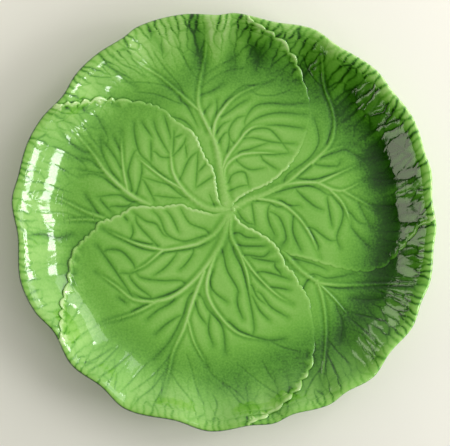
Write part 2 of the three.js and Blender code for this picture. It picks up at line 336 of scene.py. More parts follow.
print(f"lobes of about {LOBE_PITCH[0]} mm at the knot and {LOBE_PITCH[1]} mm at the rim")

# %% [markdown]
# The lip of an edge, a list of reaches and strengths, says where the upper leaf stands proud and where it
# melts in.

# %% Make the five edges
TOP_RIGHT_LIP = [
    (0.01, 0), (0.05, 1), (0.3, 1), (0.4, 0.5), (0.5, 0.13), (0.66, 0.1), (0.75, 0.6), (0.8, 1), (1, 1),
]
LEFT_TOP_LIP = [(0.03, 0), (0.1, 1), (0.42, 1), (0.5, 0.5), (0.6, 0.5), (0.75, 1), (1, 1)]
LOWER_UPPER_LIP = [(0.05, 0), (0.14, 0.9), (1, 1)]
LOWER_LOWER_LIP = [
    (0.01, 0), (0.05, 1), (0.25, 1), (0.5, 0.5), (0.65, 0.15), (0.73, 0.15), (0.8, 0.9), (1, 1),
]
RIGHT_LOWER_LIP = [(0.3, 0), (0.36, 0.5), (0.6, 0.35), (0.8, 0.4), (1, 0.8)]

top_right_edge = edge_from(TOP_OVER_RIGHT, -1, TOP_RIGHT_LIP)
left_top_edge = edge_from(UPPER_LEFT_OVER_TOP, -1, LEFT_TOP_LIP)
lower_upper_edge = edge_from(LOWER_LEFT_OVER_UPPER_LEFT, -1, LOWER_UPPER_LIP)
lower_lower_edge = edge_from(LOWER_LEFT_OVER_LOWER_RIGHT, 1, LOWER_LOWER_LIP)
right_lower_edge = edge_from(RIGHT_OVER_LOWER_RIGHT, -1, RIGHT_LOWER_LIP)
edges = (top_right_edge, left_top_edge, lower_upper_edge, lower_lower_edge, right_lower_edge)
print("edges meet the rim at", [round(math.degrees(edge["bearing"][-1])) for edge in edges], "degrees")

# %% [markdown]
# The lowest leaf comes out from between two others, so the right-hand leaf follows one edge up to that
# place and another one after it.

# %% Give each leaf its two edges
SLIVER = 0.2  # the least width of a leaf, where two edges meet
LEAST_TURN = SLIVER / (REACHES * MEAN_REACH)
tuck_reach = right_lower_edge["start"]
low_bearing = lower_lower_edge["bearing"]
apart = np.maximum(right_lower_edge["bearing"], low_bearing + LEAST_TURN)
tucked = REACHES < tuck_reach
right_lower_edge["bearing"] = np.where(tucked, low_bearing, apart)
right_lower_edge["slant"] = np.where(tucked, lower_lower_edge["slant"], right_lower_edge["slant"])


def turned_on(edge):
    """The same edge, one full turn further round."""
    return {**edge, "bearing": edge["bearing"] + 2 * math.pi}


LEAVES = {
    "leaf_top": {
        "from": top_right_edge, "to": left_top_edge, "over": [top_right_edge], "under": [left_top_edge],
    },
    "leaf_upper_left": {
        "from": left_top_edge, "to": lower_upper_edge, "over": [left_top_edge], "under": [lower_upper_edge],
    },
    "leaf_lower_left": {
        "from": lower_upper_edge, "to": lower_lower_edge,
        "over": [lower_upper_edge, lower_lower_edge], "under": [],
    },
    "leaf_lower_right": {
        "from": lower_lower_edge, "to": right_lower_edge, "over": [],
        "under": [lower_lower_edge, right_lower_edge], "first": tuck_reach,
    },
    "leaf_right": {
        "from": right_lower_edge, "to": turned_on(top_right_edge), "over": [right_lower_edge],
        "under": [top_right_edge, lower_lower_edge],
    },
}
for name, leaf in LEAVES.items():
    ends = np.degrees([leaf["from"]["bearing"][-1], leaf["to"]["bearing"][-1]])
    print(name, "meets the rim from", ends.round(), "degrees")

# %% [markdown]
# ## The veins
# The mould was carved: the main veins stand up as ridges with a groove along each flank, and the side
# veins are single cut lines. Each is a traced line of a few picture points, and a smooth curve is
# drawn through it. A ridge also has a strength at its foot and at its tip, because a vein thins as it
# goes out.

# %% Trace the raised veins of each leaf
RIDGES = {
    "leaf_top": [
        (2.2, 1.3, [(226, 204), (222.5, 180), (220, 165), (217, 150), (212, 134)]),
        (1.3, 0.45, [
            (212, 136), (205, 122), (199, 108), (198, 95), (200, 80), (205, 55), (206, 42), (205, 24),
        ]),
        (0.9, 0.4, [(198, 110), (181, 95), (160, 77), (141, 65), (124, 50)]),
        (1.1, 0.4, [(213, 137), (215, 123), (221, 112), (235, 97), (255, 87), (270, 83)]),
        (1.1, 0.4, [(221, 172), (227, 157), (239, 141), (246, 132), (254, 127), (266, 125)]),
        (1.0, 0.4, [(223, 182), (226, 166), (238, 156), (248, 153.5), (262, 153), (282, 154)]),
    ],
    "leaf_upper_left": [
        (1.6, 0.5, [
            (228, 210), (210, 209), (201, 205), (190, 197), (182, 188), (176, 179), (172, 168), (170, 140),
        ]),
        (0.9, 0.4, [(184, 190), (163, 178), (146, 165), (136, 156)]),
        (1.3, 0.4, [(150, 205), (134, 197), (120, 186), (105, 171), (94, 155), (78, 136), (58, 112)]),
        (0.8, 0.4, [(128, 193), (123.5, 170), (121.5, 146), (121.5, 132)]),
        (1.0, 0.4, [(106, 219), (86, 212), (62, 200), (44, 193)]),
        (0.8, 0.4, [(104, 221), (85, 219.5), (58, 221)]),
    ],
    "leaf_lower_left": [
        (1.5, 0.7, [(228, 216), (215, 233), (205, 240), (195, 244.5), (172, 249), (161, 250)]),
        (0.8, 0.4, [(163, 250), (136, 243.5), (101, 228)]),
        (0.8, 0.4, [(163, 250), (145, 265), (131, 272)]),
        (1.8, 0.9, [(229, 216), (222, 240), (212, 258), (198, 276), (180, 292), (168, 298.5), (152, 302)]),
        (0.9, 0.4, [(154, 302), (133, 299), (116, 286), (96, 272)]),
        (0.8, 0.4, [(156, 302), (132, 314), (97, 324)]),
        (1.2, 0.45, [(204, 271), (192, 303), (184, 328), (173, 352), (168, 374), (161, 400)]),
        (0.7, 0.4, [(187, 317), (194, 342), (207, 366)]),
        (1.2, 0.4, [(214, 257), (207, 280), (208, 296), (219, 315), (238, 333), (268, 341)]),
        (1.3, 0.4, [(230, 216), (231, 236), (240, 254), (247, 274), (251, 298)]),
        (0.8, 0.4, [(242, 256), (257, 276), (277, 295), (292, 304)]),
    ],
    "leaf_right": [
        (1.5, 0.4, [
            (234, 208), (246, 201), (268, 193), (285, 184), (304, 168.5), (322, 154.5), (342, 146.5),
            (358, 146),
        ]),
        (1.0, 0.45, [(312, 163), (330, 143), (334, 124), (331, 107), (324, 88), (322, 65), (321, 40)]),
        (1.1, 0.8, [(264, 194), (280, 186), (302, 182.5), (322, 183)]),
        (0.8, 0.4, [(318, 183), (338, 173.5), (360, 164)]),
        (0.9, 0.4, [(318, 183), (332, 189.5), (343, 190.5), (364, 180)]),
        (0.7, 0.4, [(329, 189), (342, 203), (351, 224)]),
        (0.7, 0.4, [(343, 191), (359, 200.5), (376, 210)]),
        (1.0, 0.4, [(256, 198), (281, 204), (298, 217.5), (310, 235), (320, 258)]),
    ],
    "leaf_lower_right": [
        (1.2, 0.9, [(282, 251), (301, 271), (320, 284)]),
        (1.0, 0.45, [(316, 283), (340, 285), (373, 284.4), (426, 283)]),
        (1.0, 0.45, [(317, 281), (323, 303), (325.5, 330), (324, 358), (320, 392)]),
        (0.8, 0.4, [(318, 283), (334, 299), (350, 318)]),
    ],
}
print(sum(len(lines) for lines in RIDGES.values()), "raised veins")

# %% [markdown]
# The cut veins are many and short. They branch off the raised ones and fan out towards the wall, where
# a finer net takes over.

# %% Trace the cut veins of the two upper leaves
GROOVES = {
    "leaf_top": [
        [(241, 139), (253, 138), (271, 142), (295, 144)],
        [(240, 152), (250, 149), (270, 142)],
        [(246, 135), (252, 130), (268, 129), (278, 138), (289, 152.5)],
        [(254, 153), (272, 154.6), (290, 153)],
        [(264, 125.5), (280, 125.5), (304, 128.5)],
        [(242, 131), (254, 120), (270, 114), (284, 113), (308, 115)],
        [(245, 120), (254, 107), (267, 103.5), (288, 104.5), (309, 103)],
        [(223, 116), (238, 105), (248, 99.5)],
        [(216, 150), (214, 139), (222, 125), (230, 121)],
        [(230, 139), (229, 130), (236, 119), (244, 116)],
        [(227, 153), (229, 143), (229, 136)],
        [(217, 145), (224, 134)],
        [(208, 132), (203, 116), (211, 103)],
        [(210, 130), (215, 120), (217, 110), (216.5, 100)],
        [(218, 113), (228, 99)],
        [(201, 95), (212, 91), (223, 84)],
        [(237.6, 162), (249.6, 169.6), (265, 168)],
        [(263, 160), (277, 169.6)],
        [(228, 183), (231.6, 175.6), (239, 172), (245, 173), (249, 187.6)],
        [(229, 191), (240, 186.4)],
        [(101, 56), (107, 64), (129, 83), (136.5, 87)],
        [(181, 101), (187, 106), (198, 127)],
        [(172, 116.6), (184, 121), (193, 129)],
    ],
    "leaf_upper_left": [
        [(80, 158), (91, 161), (99, 168)],
        [(80, 170), (102, 173)],
        [(79, 176), (91, 174), (101, 176.4), (117.6, 188.4)],
        [(97, 197), (119, 195), (131, 201.6)],
        [(85, 194), (90, 201.6), (98.4, 213.6)],
        [(101, 200.4), (111.6, 212.4)],
        [(111.6, 206.4), (127, 206)],
        [(101, 138), (102, 152), (111.6, 171.6), (119, 181)],
        [(105, 144), (116.4, 159.6), (120, 167)],
        [(114, 137), (120, 150)],
        [(134.4, 122), (134.4, 133), (140, 153.6), (151, 164.4)],
        [(134.4, 152), (128.4, 171.6), (132, 188.4)],
        [(141.6, 162), (141.6, 174), (137, 192)],
        [(144, 181), (155, 201.6)],
        [(141.6, 177), (159.6, 182.4), (168, 185), (183.6, 197)],
        [(155, 195.6), (165.6, 197), (181, 198)],
        [(151, 164.4), (159.6, 173), (175, 183.6)],
        [(151, 140), (151, 161)],
        [(141.6, 122), (152.4, 138)],
        [(153.6, 121), (157, 132), (168, 152)],
        [(155, 152), (161, 157)],
        [(164.4, 116), (170.4, 137)],
        [(174, 129.6), (173, 152)],
        [(174, 138), (182.4, 134.4)],
        [(174, 155), (183.6, 144), (186, 137)],
        [(185, 144), (187, 158.4)],
        [(199, 151), (189.6, 158.4), (180, 179)],
        [(197.4, 152), (197.4, 164), (195.6, 188)],
        [(207.6, 162), (197.4, 173)],
        [(215, 175), (204, 182.4), (197, 187)],
        [(209, 194), (215, 207.6)],
        [(60, 130), (70, 142), (84, 152)],
        [(26, 236), (42, 234), (58, 238), (72, 234)],
    ],
}
print({name: len(lines) for name, lines in GROOVES.items()}, "cut veins")

# %% [markdown]
# The other three leaves are traced in the same way. The lower left one lies uppermost, so it shows the
# most veins.

# %% Trace the cut veins of the other leaves
GROOVES["leaf_lower_left"] = [
    [(180, 207.6), (189.6, 223), (206, 230)],
    [(165.6, 210), (171.6, 217), (179, 233)],
    [(152, 210), (159.6, 218), (167, 234), (183.6, 241), (204, 236)],
    [(133, 212), (146, 221), (156, 224), (164, 235)],
    [(123.6, 216), (128, 221)],
    [(132, 224), (133, 233)],
    [(137, 223), (151, 239), (157, 245)],
    [(101, 228), (120, 237.6), (138, 247), (153.6, 251)],
    [(127, 239), (150, 244)],
    [(97, 245), (110, 263), (121, 279), (132, 296)],
    [(108, 249.6), (121, 251), (133, 263)],
    [(121, 273), (132, 273), (149, 262), (161, 253.7), (192, 248), (204, 243.7)],
    [(176, 254.5), (165.6, 267), (153, 276)],
    [(193, 253), (185.6, 264), (179, 270)],
    [(141, 277.5), (163, 280.6), (181, 280.6)],
    [(212, 257.5), (205.5, 270), (181, 288), (165.6, 295), (147, 299), (132, 293)],
    [(130, 277.5), (138, 287), (150, 296)],
    [(118, 297), (127, 303.6)],
    [(146, 305), (133, 311)],
    [(172, 302), (158, 310), (147, 319)],
    [(189, 296), (182.5, 316), (169, 342), (153, 359)],
    [(179, 316), (167, 323.5), (155, 334)],
    [(195, 302), (199, 314), (207, 325)],
    [(201, 296), (207, 308), (222, 326.6), (225.5, 352.6)],
    [(210, 314), (208.6, 330), (213, 345)],
    [(222, 250), (227, 270), (238, 291), (236, 302)],
    [(212, 271.6), (210, 281), (213.6, 291), (227, 302)],
    [(233, 250), (242, 269), (250, 302), (254, 328)],
    [(252, 286), (257, 297), (265, 304)],
    [(251, 270), (265, 286)],
    [(239, 233), (246, 237), (258, 238)],
    [(236, 244), (245, 246), (266, 246)],
    [(246, 255), (263, 256.6), (270, 251)],
    [(253, 258), (276, 262)],
    [(260, 271.6), (270, 273), (289, 279)],
    [(275, 267), (280, 273)],
    [(271, 287), (289, 289.6)],
    [(260, 293), (270.6, 306.6), (287.5, 317)],
    [(237, 291), (237.6, 305), (243, 319)],
    [(252, 296), (260, 311), (269, 320)],
    [(229, 322), (240, 331), (266, 339.6), (284, 339)],
]
GROOVES["leaf_right"] = [
    [(236, 207), (245, 202), (268, 202), (277, 207)],
    [(252, 206), (255, 226)],
    [(239, 214), (246, 222)],
    [(268, 208), (268, 219), (275, 236)],
    [(271, 212), (280, 219), (286, 238), (282, 245)],
    [(293, 218), (293, 233), (301, 251)],
    [(265, 197), (277, 192), (306, 186), (318, 189), (328, 195)],
    [(281, 201), (288, 205), (300, 205.6)],
    [(297, 191), (314, 206), (323, 210)],
    [(327, 197), (328.5, 208), (332, 227)],
    [(331, 195), (342, 209), (342, 220), (336.5, 237), (340, 248.5)],
    [(312, 228), (329, 240)],
    [(310, 230), (318, 246)],
    [(350, 213), (357, 221), (366, 225)],
    [(359, 205), (371, 228)],
    [(351.5, 228), (367, 246)],
    [(297, 178), (310, 180), (330, 175), (357, 166)],
    [(317, 165), (336.5, 166), (340, 162)],
    [(320, 158), (336.5, 152), (346, 150), (361, 159.5)],
    [(296, 178), (313, 163)],
    [(286, 176), (309, 158), (318, 144), (318, 133), (313.6, 117)],
    [(327, 143), (332, 127)],
]
GROOVES["leaf_lower_right"] = [
    [(294, 259), (313, 264), (327, 270)],
    [(314, 274), (327, 278), (352.5, 274)],
    [(326, 286), (340, 288), (352.5, 287)],
    [(336, 306), (342, 322), (340, 340)],
    [(300, 300), (306, 282), (314, 276)],
    [(350, 298), (366, 300), (384, 298)],
]
print({name: len(lines) for name, lines in GROOVES.items()}, "cut veins")

# %% [markdown]
# On the wall the cut veins are finer and straighter, and they spread like the ribs of a fan. They are
# traced in the same way, but they are cut without the soft shade that lies along the others.

# %% Trace the fine cut veins that fan out over the wall
FINE_CUTS = {
    "leaf_top": [
        [(110.6, 51), (120, 63), (134.7, 70.4), (146, 79)],
        [(98.5, 61), (115, 70.4), (132, 80)],
        [(120, 82.5), (139.5, 82.5), (161, 85), (176, 91)],
        [(132, 92), (156, 94.5), (180.5, 104)],
        [(150, 44), (156, 56), (166, 70), (178, 84), (186, 98)],
        [(172, 34), (178, 48), (186, 62), (194, 76)],
        [(238, 51), (233.5, 58), (219, 65.6), (204, 76)],
        [(252, 60), (243, 68), (228.7, 70.4), (214, 77.7), (202, 87)],
        [(282, 74), (262, 85), (243, 86), (228, 98)],
        [(296, 88), (276, 95), (258, 95)],
    ],
    "leaf_upper_left": [
        [(40, 160), (56, 166), (78, 178)],
        [(52, 146), (66, 152), (84, 164)],
        [(34, 180), (52, 186), (74, 194)],
        [(74, 116), (86, 130), (98, 146)],
        [(92, 108), (100, 122), (108, 138)],
        [(34, 212), (52, 212), (70, 214)],
    ],
    "leaf_lower_left": [
        [(167, 369), (152, 388), (138.6, 398.6), (131, 409)],
        [(164, 385), (160, 393), (152, 407)],
        [(172, 352), (158, 370), (146, 381), (130, 392)],
        [(171, 374), (179, 385), (187, 394.5), (193, 402)],
        [(205, 362), (212, 374), (228, 388), (239, 401), (247, 406)],
        [(219, 380), (236, 391), (245, 400)],
        [(236, 362), (252, 376), (268, 388), (282, 396)],
        [(262, 360), (268, 372), (276, 384)],
        [(272, 342), (286, 348), (302, 352)],
        [(122, 343), (103, 362), (87, 371.5)],
        [(114, 347), (92.5, 360), (76, 364)],
        [(134, 350), (116, 366), (98, 378)],
        [(146, 364), (132, 380), (118, 394)],
        [(186, 352), (192, 370), (196, 386), (204, 404)],
        [(212, 393), (217, 404), (214.5, 416)],
        [(96, 326), (80, 336), (70, 348)],
        [(84, 300), (76, 314), (68, 326)],
    ],
    "leaf_lower_right": [
        [(328, 356), (336, 372), (342, 384)],
        [(326, 338), (338, 352), (352, 366)],
        [(352, 320), (366, 332), (378, 346)],
        [(346, 312), (366, 316), (388, 322)],
        [(376, 290), (392, 296), (408, 304)],
        [(322, 366), (312, 380), (304, 396)],
    ],
    "leaf_right": [
        [(326, 96), (338, 84), (346, 72)],
        [(331, 112), (346, 98), (358, 84)],
        [(334, 128), (352, 114), (368, 98)],
        [(350, 146), (370, 134), (386, 122)],
        [(360, 160), (380, 156), (402, 148)],
        [(366, 178), (386, 180), (408, 178)],
        [(366, 204), (388, 206), (408, 204)],
        [(318, 84), (308, 70), (302, 54)],
    ],
}
print(sum(len(lines) for lines in FINE_CUTS.values()), "fine cut veins")

# %% [markdown]
# ## From lines to relief
# To carve a vein, every point of a leaf has to know how far it lies from the line. The distance to a
# line of short straight pieces is the least of the distances to the pieces, and points far away are
# skipped. A cut vein that was traced a little short of the vein it branches from is first led on to it.

# %% Draw smooth curves and measure distances to them
CURVE_STEP = 0.9
JOIN_REACH = 8  # how far a cut vein is led on to another one
JOIN_NEAR = 1  # closer than this it has already met it
JOIN_FACING = 0.78  # how straight ahead the other has to lie
TINY = 1e-9  # keeps a division safe


def curve_through(places):
    """A smooth curve through places in plan, as many short straight pieces."""
    steps = np.hypot(*np.diff(places, axis=0).T)
    along = np.concatenate([[0], np.cumsum(steps)])
    marks = np.linspace(0, along[-1], max(3, int(along[-1] / CURVE_STEP)))
    sides = [smooth_line(np.column_stack([along, side]))(marks) for side in places.T]
    return np.column_stack(sides)


def line_distance(x, y, line):
    """How far points lie from a line, and how far along it, from 0 to 1, their nearest place is."""
    nearest = np.full(x.size, np.inf)
    share = np.zeros(x.size)
    pieces = len(line) - 1
    for index in range(pieces):
        start = line[index]
        step = line[index + 1] - start
        t = ((x - start[0]) * step[0] + (y - start[1]) * step[1]) / max(step @ step, TINY)
        t = np.clip(t, 0, 1)
        away = (x - start[0] - t * step[0]) ** 2 + (y - start[1] - t * step[1]) ** 2
        closer = away < nearest
        nearest[closer] = away[closer]
        share[closer] = (index + t[closer]) / pieces
    return np.sqrt(nearest), share


def joined(places, stems):
    """A cut vein, led on from either end to a vein that lies close ahead of it."""
    for _ in range(2):
        places = places[::-1]
        ahead = places[-1] - places[-2]
        to_stems = stems - places[-1]
        gaps = np.hypot(*to_stems.T)
        facing = to_stems @ ahead / np.maximum(gaps * np.hypot(*ahead), TINY)
        fit = (gaps < JOIN_REACH) & (facing > JOIN_FACING)
        if gaps.min() > JOIN_NEAR and fit.any():
            places = np.vstack([places, stems[fit][gaps[fit].argmin()]])
    return places


def near_line(x, y, line, margin):
    """Which points lie inside a line's box, widened by a margin."""
    low = line.min(0) - margin
    high = line.max(0) + margin
    return np.nonzero((x > low[0]) & (x < high[0]) & (y > low[1]) & (y < high[1]))[0]


def towards(degrees, x, y):
    """1 on the side of a bearing, 0 square to it and -1 on the other side."""
    return np.cos(np.arctan2(y, x) - math.radians(degrees))


def hump(value, width):
    """A round hump, 1 in the middle."""
    return np.exp(-((value / width) ** 2))


ridge_traces = [trace for lines in RIDGES.values() for _, _, trace in lines]
longest = max(len(curve_through(plan(trace))) for trace in ridge_traces) * CURVE_STEP
print(f"the longest raised vein is about {longest:.0f} mm long")

# %% [markdown]
# All round the wall a net of fine cut veins comes in from the rim, with long cells that stand side by
# side. They are too many to trace and too alike to need it. Instead, the middles of the cells are
# strewn in rows round the rim, and a point lies on a vein where its two nearest middles are equally
# far: that closes every cell, as in a real leaf. Measuring in cells instead of millimetres makes them
# long and narrow.

# %% Strew the cells of the net along the rim
NET_ROWS = [(3, 185), (14, 135), (27, 86), (42, 62), (58, 50)]  # distance in from the end, and cells
NET_SHIFT = 0.42  # of a cell's width
NET_STRAY = 4.5  # along a cell
NET_LEAN = 0.35
LEAN_WAVES = 3  # round the rim
NET_WAVER = 0.7
WAVER_WAVES = (41, 67)
WAVER_RUNS = (0.7, -0.2)  # in radians for each mm in from the rim
NET_FAINT_BEARING = 240  # the side where the net is faintest
NET_FADE = (12, 50)
NET_STRENGTH = (1.25, 0.6)  # on the strong side and on the faint one
LUCK_RANGE = (0.5, 1.2)  # below it a line is at its weakest
LUCK_LEAST = 0.35
UPRIGHT_RANGE = (0.1, 0.7)  # from lines along the rim to lines up the wall
CROSS_STRENGTH = 0.4  # of a line along the rim
SEAM_CELLS = 4
CELL_WIDTH = 6.7
CELL_LENGTH = 12
POINTS_AT_ONCE = 20000
FAR_OFF = 1e3  # stands for nowhere near

stray = np.random.default_rng(5)


def unrolled(bearing, depth):
    """Places along the rim and in from it, counted in cells."""
    along = bearing * FACE_RADIUS + NET_LEAN * depth * np.sin(LEAN_WAVES * bearing + 1)
    first, second = [
        np.sin(waves * bearing + run * depth) for waves, run in zip(WAVER_WAVES, WAVER_RUNS)
    ]
    along = along + NET_WAVER * first * second
    return np.column_stack([along / CELL_WIDTH, depth / CELL_LENGTH])


def strew_cells():
    """The middles of the cells, each with a chance number, and those by the seam a second time."""
    rows = []
    for depth, count in NET_ROWS:
        place = np.arange(count) + stray.uniform(-NET_SHIFT, NET_SHIFT, count)
        deep = depth + stray.uniform(-NET_STRAY, NET_STRAY, count)
        middles = unrolled(place * 2 * math.pi / count - math.pi, deep)
        rows.append(np.column_stack([middles, stray.uniform(size=count)]))
    cells = np.concatenate(rows)
    turn = 2 * math.pi * FACE_RADIUS / CELL_WIDTH
    again = np.concatenate([cells, cells + [turn, 0, 0], cells - [turn, 0, 0]])
    return again[np.abs(again[:, 0]) < turn / 2 + SEAM_CELLS]


CELLS = strew_cells()


def net_fields(x, y):
    """How strongly the net is cut at points, and how far its nearest line is."""
    net = np.zeros(x.size)
    away = np.full(x.size, FAR_OFF)
    depth = FACE_RADIUS - round_radius(x, y)
    by_rim = np.nonzero(depth < NET_FADE[1])[0]
    for some in np.array_split(by_rim, 1 + by_rim.size // POINTS_AT_ONCE):
        place = unrolled(np.arctan2(y[some], x[some]), depth[some])
        square = (place[:, :1] - CELLS[:, 0]) ** 2 + (place[:, 1:] - CELLS[:, 1]) ** 2
        two = np.argpartition(square, 1, axis=1)[:, :2]
        near, far = np.take_along_axis(square, two, 1).T
        step = CELLS[two[:, 1]] - CELLS[two[:, 0]]
        gap = np.hypot(step[:, 0], step[:, 1])
        steepness = np.hypot(step[:, 0] / CELL_WIDTH, step[:, 1] / CELL_LENGTH) / gap
        away[some] = np.abs(far - near) / (2 * gap * steepness)
        luck = CELLS[two, 2].sum(1)
        fade = 1 - rise_between(depth[some], *NET_FADE)
        upright = np.abs(step[:, 0]) / gap
        faint = 0.5 + 0.5 * towards(NET_FAINT_BEARING, x[some], y[some])
        by_luck = LUCK_LEAST + (1 - LUCK_LEAST) * rise_between(luck, *LUCK_RANGE)
        by_lie = CROSS_STRENGTH + (1 - CROSS_STRENGTH) * rise_between(upright, *UPRIGHT_RANGE)
        net[some] = fade * by_luck * by_lie * np.interp(faint, (0, 1), NET_STRENGTH)
    return net, away


print(len(CELLS), "cells in the net")

# %% [markdown]
# The relief is a height over the dish in millimetres. The veins and edges are each turned into fields
# from 0 to 1, the strongest line winning at each point so that a fork is no higher than its branches,
# and the fields are then weighed together. The same fields say how thick the glaze lies, because glaze
# runs off a ridge and gathers in a groove: the depth is about 0 where it is thinnest and about 1 where it
# is deepest. Painted shade and painted light are added to that depth in a few places.
#
# The veins come first. A raised vein is a round hump with a hollow along each flank. A cut vein is a
# thin groove with a wide soft shade, and a fine one is the groove alone.

# %% Turn the veins into fields
RIDGE_WIDTH = 1.35
RIDGE_MOST = 1.2  # the height of the strongest vein, beside one of strength 1
FINE_TIP = 0.6  # a raised vein with a weaker tip than this
FINE_TIP_FADE = 0.3  # runs out over this share of its length
BLUNT_TIP_FADE = 0.06  # and any other over this one
TIP_SHARE = 1.02  # just past the tip
FLANK_FADE = (0.08, 0.15)  # shares of the length, at the foot and at the tip
FLANK_PLACE = (1.4, 0.7)  # from the middle of the vein, in its widths and in mm
FLANK_WIDTH = (0.6, 0.8)  # likewise
GROOVE_WIDTH = 0.75
GROOVE_TAPER = (0.5, 0.45)  # of that width at the ends, and more in the middle
CUT_TAPER = 0.35  # a power: the smaller, the blunter the ends
FINE_TAPER = 0.5
FINE_STRENGTH = 1.5  # of a fine cut vein, beside the others
SHADE_WIDTH = 2.8
FARTHEST = 7


def along_line(x, y, line):
    """Which points lie near a line, how far from it, and how far along it from 0 to 1."""
    close = near_line(x, y, line, FARTHEST)
    return close, *line_distance(x[close], y[close], line)


def raise_to(field, where, values):
    """Raise a field to new values where they are higher."""
    field[where] = np.maximum(field[where], values)


def vein_fields(name, x, y):
    """At points of a leaf: ridges, their flanks, grooves, their shade and how far the nearest vein is."""
    ridge, flank, groove, shade = np.zeros((4, x.size))
    nearest = np.full(x.size, float(FARTHEST))
    stems = []
    for foot, tip, trace in RIDGES[name]:
        stems.append(curve_through(plan(trace)))
        close, distance, share = along_line(x, y, stems[-1])
        strength = np.interp(share, (0, 1), (foot, tip))
        width = RIDGE_WIDTH * strength
        fade = FINE_TIP_FADE if tip < FINE_TIP else BLUNT_TIP_FADE
        height = np.minimum(RIDGE_MOST, np.sqrt(strength)) * rise_between(TIP_SHARE - share, 0, fade)
        beside = height * rise_between(share, 0, FLANK_FADE[0]) * rise_between(1 - share, 0, FLANK_FADE[1])
        out = distance - FLANK_PLACE[0] * width - FLANK_PLACE[1]
        raise_to(ridge, close, height * hump(distance, width))
        raise_to(flank, close, beside * hump(out, FLANK_WIDTH[0] * width + FLANK_WIDTH[1]))
        nearest[close] = np.minimum(nearest[close], distance)
    for trace in GROOVES[name]:
        stems.append(curve_through(joined(plan(trace), np.concatenate(stems))))
        close, distance, share = along_line(x, y, stems[-1])
        taper = np.sin(math.pi * share).clip(0, 1) ** CUT_TAPER
        width = GROOVE_WIDTH * (GROOVE_TAPER[0] + GROOVE_TAPER[1] * taper)
        raise_to(groove, close, taper * hump(distance, width))
        raise_to(shade, close, taper * hump(distance, SHADE_WIDTH))
        nearest[close] = np.minimum(nearest[close], distance)
    for trace in FINE_CUTS[name]:
        line = curve_through(joined(plan(trace), np.concatenate(stems)))
        close, distance, share = along_line(x, y, line)
        taper = FINE_STRENGTH * np.sin(math.pi * share).clip(0, 1) ** FINE_TAPER
        raise_to(groove, close, taper * hump(distance, GROOVE_WIDTH))
    clear = 1 - np.clip(ridge, 0, 1)
    return ridge, flank * clear, groove * clear, shade * clear, nearest


stoutest = max(foot for lines in RIDGES.values() for foot, _, _ in lines)
print(f"the stoutest raised vein is about {2 * RIDGE_WIDTH * stoutest:.0f} mm wide")

# %% [markdown]
# The wall also has a few broad, soft hollows that run in from the rim and fade towards the well. They are
# traced like the veins.

# %% Press soft hollows into the wall
FOLD_FADE = 0.5
FOLDS = {  # soft hollows of the wall: strength, half width, and a trace
    "leaf_top": [
        (0.9, 6, [(193, 14), (196, 30), (198, 52), (201, 78)]),
        (1.0, 6.5, [(240, 16), (247, 34), (252, 50), (260, 74)]),
        (0.5, 3.5, [(150, 30), (160, 46), (170, 62)]),
        (0.4, 3, [(219, 16), (217, 36), (214, 58)]),
    ],
    "leaf_right": [
        (0.45, 8, [(304, 36), (310, 58), (316, 84)]),
        (0.5, 7, [(352, 66), (350, 90), (346, 110)]),
    ],
}


def fold_field(name, x, y):
    """1 in the middle of a soft hollow of the wall."""
    fold = np.zeros(x.size)
    for strength, width, trace in FOLDS.get(name, []):
        distance, share = line_distance(x, y, curve_through(plan(trace)))
        fold = np.maximum(fold, strength * hump(distance, width) * rise_between(1 - share, 0, FOLD_FADE))
    return fold


print(sum(len(lines) for lines in FOLDS.values()), "hollows in the wall")

# %% [markdown]
# Glaze doesn't lie evenly. It ran to one side of the wall before it set, gathered where the well bends
# up, less so on the left where light is painted in, and drew back from the lip. The side it ran to faces
# away from the lamps and carries painted shade as well, and the other side carries painted light. Light
# is also painted on the rim on the lamps' side, and the well is lighter towards its middle. Streaks run
# down the wall, and a few soft spots are painted darker or lighter, as shade and light. Each is a small
# amount that is added to the depth.

# %% Let the glaze run
BEND_INNER = (82, 120)  # the glaze deepens between these radii
BEND_OUTER = (120, 148)  # and thins again between these
BEND_FAINT_ON_LIT_SIDE = 0.45  # how much fainter this is on the left, which faces the lamps: painted light
BEND_SOFTENS = 0.65  # of the dark in the veins, where the glaze fills them
DRIFT_AND_SHADE_BEARING = 5  # the side to which the glaze ran before it set; the wall there faces away from the lamps, and painted shade darkens it further
DRIFT_WALL = (104, 134)
DRIFT_EVEN = -0.05
# painted shade on the wall that faces away from the lamps, on top of the deeper glaze
DRIFT_DEEP_AND_SHADED = 0.45
DRIFT_SHAPE = 1.5
# painted light on the wall that faces the lamps
DRIFT_THIN_AND_LIT = 0.02
STREAKS = 74  # runs of glaze down the wall
STREAK_BEARING = 70  # where they are strongest
STREAK_WALL = (108, 126)
STREAK_POOL = (0.07, 0.15)  # everywhere, and more where they are strongest
LIP_ZONE = (148, 156)
LIP_CLEARS = 0.75  # of the drift and the streaks
LIP_THINS = 0.09
LIT_RIM_BEARING = 42  # the lamps' side, where light is painted on the rim and it is palest
LIT_RIM_SHAPE = 3
RIM_PAINTED_LIGHT = 0.17
CENTRE_ZONE = (10, 95)
CENTRE_SHIFT = 22
CENTRE_LIGHTENS = 0.11
PAINTED_LIGHT_AND_SHADE_SPOTS = [  # painted shade where the amount is above 0 and painted light below it: how much darker or lighter, half width in mm, and a picture point
    (0.2, 20, (225, 236)), (0.1, 20, (275, 246)), (0.08, 24, (294, 185)), (0.22, 16, (380, 134)),
    (0.2, 14, (388, 268)), (0.09, 24, (306, 370)), (0.1, 26, (118, 365)), (-0.06, 25, (118, 172)),
    (-0.06, 18, (344, 180)), (-0.12, 20, (225, 22)), (0.1, 13, (236, 58)), (0.12, 12, (318, 76)),
    (-0.12, 10, (295, 50)), (0.15, 11, (266, 50)), (-0.1, 12, (368, 220)),
]

streak_chance = np.random.default_rng(8)
streak_marks = np.linspace(-math.pi, math.pi, STREAKS + 1)
streak_line = smooth_line(np.column_stack([streak_marks, streak_chance.uniform(-1, 1, STREAKS + 1)]))


